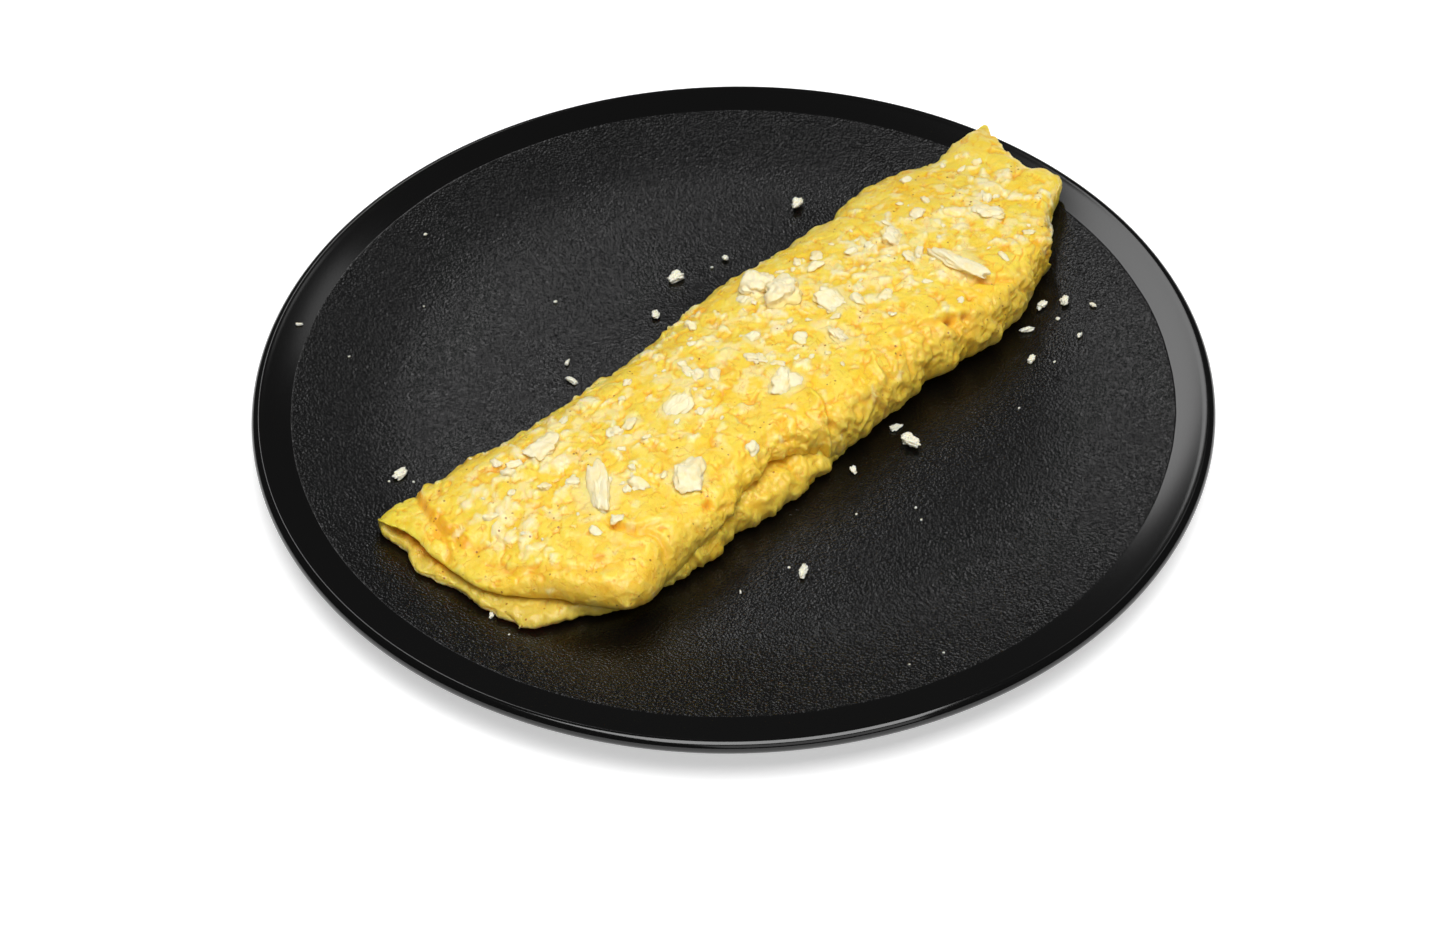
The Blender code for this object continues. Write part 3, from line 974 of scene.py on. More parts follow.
@dataclass
class LowerLap(EggLayer):
    """The bottom layer: a bulge along the front and a thin, ragged skirt of paler egg at the left end."""

    # How thick the layer is, along x.
    HEIGHT = [(-106, 2.4), (-92, 2.6), (-78, 3.6), (-62, 5.0), (-48, 6.4), (-30, 7.8), (-16, 7.4),
              (-4, 6.2), (8, 4.6), (24, 3.0), (104, 3.0)]
    CORNER_LIFT = 1.6

    # Ranges of x or y in which something sets in: where it is none, and where it is all.
    CORNER_X, CORNER_Y = (-96, -103), (17, 24)
    # Past the skirt's range the lap is a thin skirt; the shaded gap is the inside of the fold at the left
    # end.
    SKIRT_X, INSIDE_X, INSIDE_Y = (-66, -86), (-104, -100), (-6, 0)

    # How far each texture stands out or in.
    DENTS, GRAIN, PITS, CRUMPLE, FRILL = 0.45, 0.2, 0.3, 2.7, 1.5
    RIDGES, FINE_RIDGES, RIDGES_MEAN = 1.5, 0.8, 1.8

    def low(self, places: Array) -> Array:
        """The plate."""
        return self.floor(places)

    def high(self, places: Array) -> Array:
        """The plate and a thickness that varies along, raised where it meets the fold at the back."""
        x, y = places[..., 0], places[..., 1]
        corner = smoothstep(*self.CORNER_X, x) * smoothstep(*self.CORNER_Y, y)
        return self.seat(places) + smooth_line(self.HEIGHT, x) + self.CORNER_LIFT * corner

    def relief(self, points: Array, normals: Array) -> tuple[Array, dict[str, Array]]:
        """Adds up crumples and ridges along the bulge, and a frilled edge on the skirt.

        Args:
            points: (..., 3) points of the smooth layer.
            normals: Its unit normals there; not used.

        Returns:
            How far each point stands out, and the masks hollow, melt, film, toast and pale.
        """
        egg = EggRelief(self.seed)
        x, y, z = points[..., 0], points[..., 1], points[..., 2]
        skirt = smoothstep(*self.SKIRT_X, x)
        crumple, dents = egg.crumple(points), egg.dents(points)
        pits = egg.pits(points, share=0.2, size=3.2, radius=0.17)
        ridges, fine_ridges = egg.ridges(points)
        frill = Noise.fractal(points, 5.0, 4, self.seed + Pattern.FRILL, 0.6)
        lift = ((1 - 0.75 * skirt) * self.CRUMPLE * (crumple - egg.MEAN_CRUMPLE)
                + self.DENTS * dents + self.GRAIN * egg.grain(points)
                + (1 - skirt) * (self.RIDGES * ridges + self.FINE_RIDGES * fine_ridges - self.RIDGES_MEAN)
                - self.PITS * pits + skirt * self.FRILL * frill)
        # Painted shade: the shadow colour is laid in crumple hollows on the bulge, in dents and in pits.
        hollow_shade = smoothstep(0.50, 0.26, crumple) * (1 - skirt) + 0.3 * smoothstep(0, -0.5, dents) + pits
        thin = smoothstep(2.0, 0.6, z - self.floor(points[..., :2]))
        # Painted shade: the inside of the fold at the left end is given orange-brown.
        inside = smoothstep(*self.INSIDE_X, x) * smoothstep(*self.INSIDE_Y, y)
        masks = {"hollow_shade": np.clip(hollow_shade, 0, 1), "melt": 0.6 * skirt * thin, "film": skirt * (1 - inside),
                 "browning_and_shade": np.maximum(0.2 * pits, 0.9 * inside), "pale_and_shade": 1 - 0.6 * inside}
        return lift, masks


@dataclass
class Omelette:
    """All the layers of egg, bottom to top."""

    plate: Plate
    crumbles: tuple[tuple[float, float, float], ...]
    finish: bpy.types.Material

    TIP = (-77.0, -46.0)
    CORNER = (-102.8, 23.8)
    POINT = (125.4, 27.4)
    CREASES = (
        Crease(((-66.7, -23.2), (-65.9, -28.3), (-63.9, -34.4), (-60.5, -38.5), (-60.7, -42.2),
                (-63.0, -45.5)), 1.5, 1.0, 0.5),
        Crease(((-67.5, -24.5), (-66.0, -30.3), (-62.1, -33.5), (-56.0, -36.5)), 0.9, 0.8, 0.3),
        Crease(((-78.5, 13.2), (-74.5, 9.6), (-70.7, 8.1), (-67.0, 6.8)), 0.7, 0.9, 0.2),
        Crease(((62.0, -17.0), (66.5, -26.0), (73.0, -30.4), (81.0, -33.2)), 1.1, 1.0, 0.6),
        Crease(((-10.0, -29.0), (-13.7, -37.5), (-15.8, -41.0)), 1.4, 1.0, 0.5),
        Crease(((-46.0, -33.0), (-36.0, -33.0), (-28.0, -31.5)), 0.6, 0.9, 0.2),
        Crease(((-87.5, 27.0), (-91.4, 20.3), (-93.6, 14.7), (-95.0, 9.4), (-94.9, 4.7), (-94.2, -0.7),
                (-95.5, -5.0)), 1.3, 1.0, 2.2, 0.85),
        Crease(((-95.0, 7.0), (-97.5, 1.5), (-100.5, -4.5)), 1.0, 0.9, 0.6, 0.4),
        Crease(((-95.5, -8.0), (-93.0, -17.0), (-88.6, -23.5), (-84.2, -28.8), (-79.5, -34.5),
                (-72.0, -39.5)), 0.8, 1.3, 0.3, 0.12),
        Crease(((-66.7, -25.7), (-64.7, -31.3), (-61.9, -35.1), (-57.0, -38.4)), 0.8, 0.9, 0.3, 0.1),
        Crease(((-70.0, -31.0), (-68.0, -36.0), (-65.0, -40.0)), 0.7, 1.0, 0.3),
        Crease(((88.0, 27.0), (84.0, 21.0), (82.0, 14.0)), 0.7, 1.0, 0.3),
        Crease(((1.8, -26.0), (1.4, -31.6), (-1.3, -38.1), (-3.4, -41.1)), -1.5, 0.9),
        Crease(((26.0, -27.0), (22.0, -33.0), (20.5, -38.0)), -1.0, 1.1),
        Crease(((31.0, -27.0), (40.0, -28.5), (48.4, -30.5), (56.0, -34.0), (60.0, -36.0)),
               1.5, 0.9, 0.9, 0.25),
        Crease(((36.0, -30.0), (33.0, -34.0), (31.0, -37.0)), 1.1, 0.9, 0.4),
        Crease(((-30.0, -35.0), (-22.0, -33.6), (-13.0, -31.4), (-5.0, -31.0)), 0.9, 0.9, 0.5),
        Crease(((64.0, -24.0), (70.0, -29.0), (76.0, -31.5)), 0.9, 0.8, 0.4),
    )
    HOLES = (Hole(-43.5, -39.0, 1.1, 1.8, 0.2), Hole(50.8, -32.2, 1.6, 3.2, 0.6),
             Hole(55.0, -33.4, 1.0, 1.8, 0.35), Hole(60.0, -30.0, 1.0, 1.4, 0.3),
             Hole(96.5, -26.5, 0.9, 1.2, 0.0), Hole(-52.0, -44.5, 0.9, 1.2, 0.0),
             Hole(-69.5, -40.0, 0.5, 0.4, 1.0))

    def upper_fold(self) -> UpperFold:
        """The top layer."""
        outline = Outline(
            front=[self.TIP, (-70, -47), (-62, -44.4), (-54, -43), (-46, -42.4), (-38, -41.5), (-31, -39),
                   (-24, -37.6), (-16, -35.8), (-9, -37.6), (-3, -39.6), (4, -40.6), (12, -40.2),
                   (20, -39.2), (27, -38.4), (33, -37.4), (40, -36.4), (48, -36.5), (55, -37.2),
                   (62, -37.2), (70, -36), (80, -32.6), (90, -29.2), (96.4, -27)],
            back=[self.CORNER, (-99.6, 24.6), (-95, 23.4), (-90, 22.4), (-83, 21.8), (-77, 23.2),
                  (-72, 22), (-64, 19.5), (-51, 19.2), (-29, 20), (-7, 22), (8, 25.5), (20, 27.5),
                  (36, 27), (52, 28), (64, 28.4), (74, 31.2), (84, 31.4), (92, 30.2), (97, 28.4),
                  (104, 26.4), (112, 28), (119, 28.4), self.POINT],
            left=[self.TIP, (-80.3, -41.5), (-84.3, -36), (-88.4, -30), (-92.6, -25), (-96.7, -20.5),
                  (-99.7, -15), (-101, -8.5), (-101.3, -2.5), (-102, 5), (-101.5, 10), (-102.2, 15),
                  (-103.8, 20.6), self.CORNER],
            right=[(96.4, -27), (101.4, -21.6), (107.4, -15.4), (113.6, -11.4), (119.2, -8.6), (122, -6.2),
                   (121.8, -3.4), (121.8, -0.8), (119.4, 1.2), (118.8, 3.6), (119.6, 7), (119.6, 10),
                   (120.4, 13.5), (121.8, 18), (123.4, 23), self.POINT])
        return UpperFold("omelette_upper_fold", outline, widths=(9.0, 12.0, 5.0, 8.0), power=2.2,
                         level=0.42, along=446, across=196, plate=self.plate, seed=11,
                         creases=self.CREASES, holes=self.HOLES, crumbles=self.crumbles)

    def lower_lap(self) -> LowerLap:
        """The bottom layer."""
        outline = Outline(
            front=[(-98.9, -29), (-95.9, -31), (-91.5, -33), (-86.5, -34.8), (-80, -38.5), (-70, -42),
                   (-59, -43), (-52, -43.4), (-48, -44), (-44.5, -44.8), (-40, -42.4), (-30.5, -42.2),
                   (-27.4, -42.8), (-19, -42.2), (-13, -42.5), (-7, -41.3), (-1, -40.2), (5, -38.2),
                   (11, -35.4), (18, -31.5), (25, -29), (40, -28), (58, -27), (68, -25), (90, -18)],
            back=[self.CORNER, (-99.6, 24.2), (-90, 22), (-70, 15), (-20, 8), (40, 8), (90, 10)],
            left=[(-98.9, -29), (-99.4, -24.3), (-100.6, -20.5), (-101.4, -14.5), (-101.9, -10.5),
                  (-103, -5), (-104.6, -0.6), (-106.4, 3.8), (-105, 7.2), (-103.5, 11), (-104.3, 16.5),
                  (-104.4, 20.4), self.CORNER],
            right=[(90, -18), (95, -8), (90, 10)])
        return LowerLap("omelette_lower_lap", outline, widths=(4.5, 4.0, 1.8, 5.0), power=2.2, level=0.4,
                        along=420, across=120, plate=self.plate, seed=23)

    def build(self) -> Ground:
        """Builds the layers, which stand for the solid omelette together.

        Returns:
            The top layer, as the ground that the cheese lies on.
        """
        upper, lower = self.upper_fold(), self.lower_lap()
        top = upper.shape()
        Piece(upper.name, top, self.finish, "cooked_egg", ("omelette",)).build()
        Piece(lower.name, lower.shape(), self.finish, "cooked_egg", ("omelette",)).build()
        return Ground(top)


# ---------------------------------------------------------------------------- cheese and crumbs
@dataclass(frozen=True)
class Crumb:
    """One lump: its place in the plane, its size, its turn about Z in degrees, and how deep it is sunk."""

    x: float
    y: float
    length: float
    width: float
    height: float
    turn: float
    sunk: float


@dataclass
class CrumbCloud:
    """Many crumbs worked out at once: rounded blocks cut by random planes and made uneven by noise."""

    seed: int
    rows: int
    columns: int
    roughness: float = 1.0

    PLANES = 9
    NEAREST, FARTHEST = 0.85, 1.3  # of the planes from the middle
    GRAZING = 0.05  # least cosine between a direction and a plane's normal
    SOFTNESS = 2.0  # the greater, the sharper the edges between planes
    REACH = 1.12  # farthest that a point stays from the middle
    BOXINESS = 2.6  # 2 makes a ball, and more a block
    LAYERS = ((1.3, 0.36), (2.9, 0.17), (7.0, 0.05))  # cells to a radius and height of each noise
    LEVELLED = 0.3  # how far a crumb's tilt is drawn back from its ground's to level
    BASE = (0.35, -0.25)  # heights on the ball between which the base's colour sets in

    def ball(self) -> tuple[Array, Array]:
        """The points of a unit ball, ring by ring with its two poles last, and its faces."""
        polar = math.pi * (np.arange(self.rows) + 0.5) / self.rows
        around = np.linspace(0, 2 * math.pi, self.columns, endpoint=False)
        rings = np.stack([np.sin(polar)[:, None] * np.cos(around), np.sin(polar)[:, None] * np.sin(around),
                          np.broadcast_to(np.cos(polar)[:, None], (self.rows, self.columns))], -1)
        count = self.rows * self.columns
        numbers = np.arange(count).reshape(self.rows, self.columns)
        numbers = np.concatenate([numbers, numbers[:, :1]], 1)
        caps = [fan_faces(numbers[0], count, 1), fan_faces(numbers[-1], count + 1, -1)]
        unit = np.concatenate([rings.reshape(-1, 3), [[0, 0, 1.0], [0, 0, -1.0]]])
        return unit, np.concatenate([grid_faces(numbers), *caps])

    def cut(self, unit: Array, count: int) -> Array:
        """Shapes `count` crumbs out of a ball.

        In direction d a crumb's surface lies at the soft minimum, over its planes, of h / (d . n), times
        the rounded box (|x|^p + |y|^p + |z|^p)^(-1/p), times one plus three layers of noise.

        Args:
            unit: The ball's points.
            count: How many crumbs.

        Returns:
            (count, points, 3) points, of -1 to 1 along each axis.
        """
        rng = np.random.default_rng(self.seed)
        normals = rng.normal(size=(count, self.PLANES, 3))
        normals /= np.linalg.norm(normals, axis=2, keepdims=True)
        heights = rng.uniform(self.NEAREST, self.FARTHEST, (count, self.PLANES))
        facing = np.maximum(np.einsum("pi,nki->npk", unit, normals), self.GRAZING)
        reach = ((heights[:, None] / facing) ** -self.SOFTNESS).sum(2) ** (-1 / self.SOFTNESS)
        box = (np.abs(unit) ** self.BOXINESS).sum(1) ** (-1 / self.BOXINESS)
        reach = np.minimum(reach, self.REACH) * box
        where = unit[None] + rng.uniform(0, 60, (count, 1, 3))
        coarse, middle, fine = (height * Noise.gradient(where * cells, self.seed + layer)
                                for layer, (cells, height) in enumerate(self.LAYERS))
        reach *= 1 + coarse + self.roughness * (middle + fine)
        points = unit[None] * reach[..., None]
        return points / np.abs(points).max(axis=1, keepdims=True)

    def laid(self, points: Array, crumbs: list[Crumb], footings: list[Footing]) -> Array:
        """Scales the crumbs, turns them about Z, tilts them onto their ground and moves them there.

        Args:
            points: (crumbs, points, 3) points, of -1 to 1 along each axis.
            crumbs: Their sizes and places.
            footings: What each lies on.

        Returns:
            (crumbs, points, 3) points in millimetres.
        """
        half = np.array([(crumb.length, crumb.width, crumb.height) for crumb in crumbs]) / 2
        points = points * half[:, None]
        turn = np.radians([crumb.turn for crumb in crumbs])[:, None]
        x = points[..., 0] * np.cos(turn) - points[..., 1] * np.sin(turn)
        y = points[..., 0] * np.sin(turn) + points[..., 1] * np.cos(turn)
        points = np.stack([x, y, points[..., 2]], -1)
        tilts = np.array([UP.rotation_difference(normal.lerp(UP, self.LEVELLED)).to_matrix()
                          for _, normal in footings])
        points = np.einsum("nij,npj->npi", tilts, points)
        rise = np.array([height + (0.5 - crumb.sunk) * crumb.height
                         for crumb, (height, _) in zip(crumbs, footings)])
        middles = np.stack([[crumb.x for crumb in crumbs], [crumb.y for crumb in crumbs], rise], 1)
        return points + middles[:, None]

    def shape(self, crumbs: list[Crumb], footings: list[Footing]) -> Shape:
        """Makes one shape of all the crumbs.

        Args:
            crumbs: What to make.
            footings: What each lies on.

        Returns:
            The shape, with a mask of the crumbs' bases.
        """
        unit, faces = self.ball()
        points = self.laid(self.cut(unit, len(crumbs)), crumbs, footings)
        starts = (np.arange(len(crumbs)) * len(unit))[:, None, None]
        every = np.where(faces[None] >= 0, faces[None] + starts, -1).reshape(-1, 4)
        base = np.tile(smoothstep(*self.BASE, unit[:, 2]), len(crumbs))
        return Shape(points.reshape(-1, 3), every, {"base": base})


@dataclass
class Cheese:
    """Crumbled white cheese: large crumbles, smaller bits on the egg, and crumbs spilt on the plate."""

    plate: Plate
    egg: Ground
    finish: bpy.types.Material
    seed: int = 5

    # Number of the solid it stands for, and its nominal length, width, height and turn.
    CRUMBLES = ((1, 11.2, 9.6, 7.0, 20), (2, 11.6, 10.4, 7.6, 75), (3, 19.0, 5.2, 4.2, 92),
                (4, 10.0, 8.2, 5.6, 15), (5, 18.5, 5.0, 3.6, 51), (6, 10.5, 8.5, 5.0, 60),
                (7, 10.5, 7.0, 3.8, -10), (8, 12.0, 5.5, 3.6, 5), (9, 8.5, 7.0, 3.6, 40),
                (10, 9.5, 5.5, 3.8, -55), (11, 9.5, 6.5, 4.0, 110), (12, 8.5, 6.5, 4.0, 30))
    CRUMBLE_LONGER, CRUMBLE_WIDER, CRUMBLE_SUNK = 1.2, 1.25, 0.38

    # How far a crumble lies from the middle of its solid: the first two meet, as the lobes of one lump.
    SET_OFF = {1: (1.35, -1.2), 2: (-1.05, 0.9)}

    # Bits that are too small for a solid but stand out: x, y, length, width, turn.
    MEDIUM = ((-22, -33, 5.4, 5.0, 20), (36, -11, 6.0, 4.6, 60), (39, 9, 6.2, 4.8, -20),
              (44, -14, 6.6, 4.4, 35), (-53, -23, 6.4, 4.2, 100), (50, 6, 5.0, 4.0, 0),
              (-12, -6, 5.6, 4.0, 50), (6, -2, 5.0, 4.2, 10), (-40, -4, 5.4, 3.6, 30),
              (14, -12, 5.2, 4.4, 80), (76, 6, 6.0, 4.6, 20), (-70, -6, 5.0, 3.2, 15))
    MEDIUM_THICKNESS, MEDIUM_SUNK = 0.55, 0.42

    # Scattered bits: how they spread over the egg, and where it is too steep or too near the edge.
    SPREAD_X, SPREAD_Y, MIDDLE_Y = (-86, 112), 13, -3
    LEAST_LEVEL, FARTHEST_OUT = 0.8, 27
    BIT_WIDTHS, BIT_HEIGHTS = (0.5, 0.9), (0.35, 0.6)  # over the length

    # Crumbs on the plate: x, y, length, width, turn, before they are all moved by SPILT_MOVE.
    SPILT = ((66, 45, 5.4, 4.0, 10), (19, 45, 5.4, 3.8, 160), (35, 42, 2.6, 2.2, 0), (30, 42, 1.2, 1.0, 0),
             (4, 36, 4.2, 2.8, 70), (-26, 39, 2.6, 1.6, 30), (-30, 33, 5.2, 2.0, 100),
             (-12, 61, 1.3, 1.0, 0), (-23, 106, 1.4, 1.1, 0), (-41, 84, 0.8, 0.7, 0),
             (-74, 97, 2.2, 1.2, 150), (-70, 80, 0.8, 0.7, 0), (-87, 35, 5.8, 2.8, 5),
             (-91, 35, 0.8, 0.7, 0), (-86, 31, 0.8, 0.7, 0), (86, -34, 5.2, 3.0, 5),
             (91, -38, 3.8, 3.2, 60), (85, -41, 1.6, 1.4, 0), (95, -45, 2.6, 1.8, 70),
             (76, -38, 4.8, 2.0, -20), (84, -50, 2.4, 1.5, 10), (68, -47, 3.2, 2.4, 0),
             (72, -52, 1.2, 0.9, 0), (22, -41, 4.8, 2.2, -5), (21, -48, 6.6, 4.8, 110),
             (2, -45, 3.8, 2.2, 60), (52, -58, 0.9, 0.7, 0), (-33, -63, 5.8, 2.6, 25),
             (-34, -59, 0.9, 0.8, 0), (-49, -57, 1.8, 0.6, 50), (5, -66, 0.9, 0.8, 0),
             (3, -70, 0.9, 0.8, 0), (-8, -57, 0.7, 0.6, 0), (-102, -22, 2.4, 1.6, 40),
             (-103, -30, 0.7, 0.6, 0), (-28, -109, 0.8, 0.6, 0), (-37, -106, 0.7, 0.6, 0))
    SPILT_MOVE, SPILT_THICKNESS, SPILT_SUNK = (1.3, 1.5), 0.75, 0.06

    @classmethod
    def middle(cls, number: int) -> Point2:
        """Where a large crumble lies in the plane: the middle of its solid, and how far it is set off."""
        low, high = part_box(f"cheese_crumble_{number:02d}")
        off_x, off_y = cls.SET_OFF.get(number, (0, 0))
        return (low.x + high.x) / 2 / MM + off_x, (low.y + high.y) / 2 / MM + off_y

    @classmethod
    def places(cls) -> tuple[tuple[float, float, float], ...]:
        """Where each large crumble lies in the plane, and half of its mean width."""
        return tuple((*cls.middle(number), (length + width) / 4)
                     for number, length, width, _, _ in cls.CRUMBLES)

    def piece(self, name: str, shape: Shape, replaced: tuple[str, ...] = ()) -> bpy.types.Object:
        """Builds one piece of cheese."""
        return Piece(name, shape, self.finish, "white_cheese", replaced).build()

    def crumbles(self) -> None:
        """Builds each large crumble where its solid lies."""
        for number, length, width, height, turn in self.CRUMBLES:
            node = f"cheese_crumble_{number:02d}"
            x, y = self.middle(number)
            crumb = Crumb(x, y, self.CRUMBLE_LONGER * length, self.CRUMBLE_WIDER * width, height, turn,
                          self.CRUMBLE_SUNK)
            footing = self.egg.below(x, y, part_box(node)[0].z / MM)
            cloud = CrumbCloud(100 + number, rows=44, columns=60, roughness=1.2)
            self.piece(f"large_crumble_{number:02d}", cloud.shape([crumb], [footing]), (node,))

    def scattered(self, name: str, count: int, lengths: tuple[float, float], rows: int, sunk: float,
                  placed: tuple[tuple[float, float, float, float, float], ...] = ()) -> None:
        """Builds bits of one size class on the egg, thickest along the middle of its top.

        Args:
            name: The piece's name.
            count: How many.
            lengths: Least and greatest length.
            rows: Rings in each bit.
            sunk: Share of its height that a bit is sunk.
            placed: Bits with a place of their own: x, y, length, width and turn.
        """
        rng = np.random.default_rng(self.seed + count)
        least, greatest = lengths
        crumbs = [Crumb(x, y, length, width, self.MEDIUM_THICKNESS * width, turn, self.MEDIUM_SUNK)
                  for x, y, length, width, turn in placed]
        footings = [self.egg.below(crumb.x, crumb.y, 0) for crumb in crumbs]
        while len(crumbs) < count + len(placed):
            x, y = rng.uniform(*self.SPREAD_X), rng.normal(self.MIDDLE_Y, self.SPREAD_Y)
            length = least * (greatest / least) ** rng.uniform()
            width, height = length * rng.uniform(*self.BIT_WIDTHS), length * rng.uniform(*self.BIT_HEIGHTS)
            turn = rng.uniform(0, 360)
            z, normal = self.egg.below(x, y, -1)
            if z < 0 or normal.z < self.LEAST_LEVEL or abs(y - self.MIDDLE_Y) > self.FARTHEST_OUT:
                continue
            crumbs.append(Crumb(x, y, length, width, height, turn, sunk))
            footings.append((z, normal))
        cloud = CrumbCloud(self.seed + 7 * count, rows, columns=int(rows * 1.5))
        self.piece(name, cloud.shape(crumbs, footings))

    def spilt(self) -> None:
        """Builds the crumbs that lie on the plate."""
        move_x, move_y = self.SPILT_MOVE
        crumbs = [Crumb(x + move_x, y + move_y, length, width, self.SPILT_THICKNESS * width, turn,
                        self.SPILT_SUNK) for x, y, length, width, turn in self.SPILT]
        footings = [(float(self.plate.top(math.hypot(crumb.x, crumb.y))), UP) for crumb in crumbs]
        shape = CrumbCloud(self.seed + 900, rows=30, columns=44, roughness=2.2).shape(crumbs, footings)
        shape.masks["dry"] = np.ones(len(shape.points))
        self.piece("cheese_spilt_on_plate", shape)

    def build(self) -> None:
        """Builds all the cheese."""
        self.crumbles()
        self.scattered("cheese_bits_large", 60, (2.8, 5.6), rows=20, sunk=0.56, placed=self.MEDIUM)
        self.scattered("cheese_bits_small", 48, (1.3, 2.6), rows=12, sunk=0.5)
        self.spilt()


# ---------------------------------------------------------------------------- finishes
class Graph:
    """Adds nodes to a material's tree, one short call for each."""

    MIX_UNDER, MIX_OVER, MIX_RESULT = 6, 7, 2  # the colour sockets of a Mix node

    def __init__(self, name: str) -> None:
        """Starts a material with a Principled shader and its object coordinates."""
        self.material = bpy.data.materials.new(name)
        self.material.use_nodes = True
        self.tree = self.material.node_tree
        self.shader = self.tree.nodes["Principled BSDF"]
        self.place = self.node("ShaderNodeTexCoord").outputs["Object"]

    def node(self, kind: str, **settings: object) -> bpy.types.Node:
        """Adds a node and sets its properties."""
        made = self.tree.nodes.new(kind)
        for key, value in settings.items():
            setattr(made, key, value)
        return made

    def feed(self, socket: bpy.types.NodeSocket, value: object) -> None:
        """Links an output to a socket, or sets the socket to a constant."""
        if isinstance(value, bpy.types.NodeSocket):
            self.tree.links.new(value, socket)
        else:
            socket.default_value = value

    def noise(self, scale: float, detail: float = 2.0, roughness: float = 0.5,
              warp: float = 0.0) -> bpy.types.NodeSocket:
        """Noise of 0 to 1, `scale` cells to the metre."""
        made = self.node("ShaderNodeTexNoise")
        self.feed(made.inputs["Vector"], self.place)
        made.inputs["Scale"].default_value = scale
        made.inputs["Detail"].default_value = detail
        made.inputs["Roughness"].default_value = roughness
        made.inputs["Distortion"].default_value = warp
        return made.outputs["Fac"]

    def bent(self, reach: float, scale: float) -> bpy.types.NodeSocket:
        """The object coordinates, to which `reach` times a coloured noise is added.

        Args:
            reach: How far the noise pushes, in metres.
            scale: Cells of the noise to the metre.

        Returns:
            The bent coordinates.
        """
        push = self.node("ShaderNodeTexNoise")
        self.feed(push.inputs["Vector"], self.place)
        push.inputs["Scale"].default_value = scale
        made = self.node("ShaderNodeVectorMath", operation="MULTIPLY_ADD")
        self.feed(made.inputs[0], push.outputs["Color"])
        made.inputs[1].default_value = (reach, reach, reach)
        self.feed(made.inputs[2], self.place)
        return made.outputs[0]

    def cells(self, scale: float, feature: str = "F1",
              place: bpy.types.NodeSocket | None = None) -> bpy.types.NodeSocket:
        """Distance to the nearest point, or edge, of a cellular pattern, `scale` cells to the metre."""
        made = self.node("ShaderNodeTexVoronoi", feature=feature)
        self.feed(made.inputs["Vector"], place or self.place)
        made.inputs["Scale"].default_value = scale
        return made.outputs["Distance"]

    def mask(self, name: str) -> bpy.types.NodeSocket:
        """A mask that was worked out with the piece's shape."""
        return self.node("ShaderNodeAttribute", attribute_name=name).outputs["Fac"]

    def remap(self, value: bpy.types.NodeSocket, low: float, high: float, to_low: float = 0.0,
              to_high: float = 1.0) -> bpy.types.NodeSocket:
        """Maps low..high to to_low..to_high, eased and clamped; low may be the greater."""
        if low > high:
            low, high, to_low, to_high = high, low, to_high, to_low
        made = self.node("ShaderNodeMapRange", interpolation_type="SMOOTHSTEP", clamp=True)
        self.feed(made.inputs["Value"], value)
        ends = {"From Min": low, "From Max": high, "To Min": to_low, "To Max": to_high}
        for socket, number in ends.items():
            made.inputs[socket].default_value = number
        return made.outputs["Result"]

    def maths(self, operation: str, first: object, second: object = 0.5) -> bpy.types.NodeSocket:
        """One operation on two numbers."""
        made = self.node("ShaderNodeMath", operation=operation)
        self.feed(made.inputs[0], first)
        self.feed(made.inputs[1], second)
        return made.outputs[0]

    def product(self, first: object, second: object) -> bpy.types.NodeSocket:
        """Two numbers multiplied."""
        return self.maths("MULTIPLY", first, second)

    def laid(self, under: object, over: Colour, share: object) -> bpy.types.NodeSocket:
        """A display colour laid over what is there, by a share of 0 to 1."""
        made = self.node("ShaderNodeMix", data_type="RGBA")
        self.feed(made.inputs["Factor"], share)
        self.feed(made.inputs[self.MIX_UNDER], under)
        self.feed(made.inputs[self.MIX_OVER], srgb(*over))
        return made.outputs[self.MIX_RESULT]

    def bump(self, height: bpy.types.NodeSocket, strength: float, distance: float,
             under: bpy.types.NodeSocket | None = None) -> bpy.types.NodeSocket:
        """A bump of the given depth, in metres, on top of another."""
        made = self.node("ShaderNodeBump")
        made.inputs["Strength"].default_value = strength
        made.inputs["Distance"].default_value = distance
        self.feed(made.inputs["Height"], height)
        if under is not None:
            self.feed(made.inputs["Normal"], under)
        return made.outputs["Normal"]

    def set(self, **values: object) -> None:
        """Feeds the shader's sockets, named with underscores for spaces."""
        for key, value in values.items():
            self.feed(self.shader.inputs[key.replace("_", " ")], value)


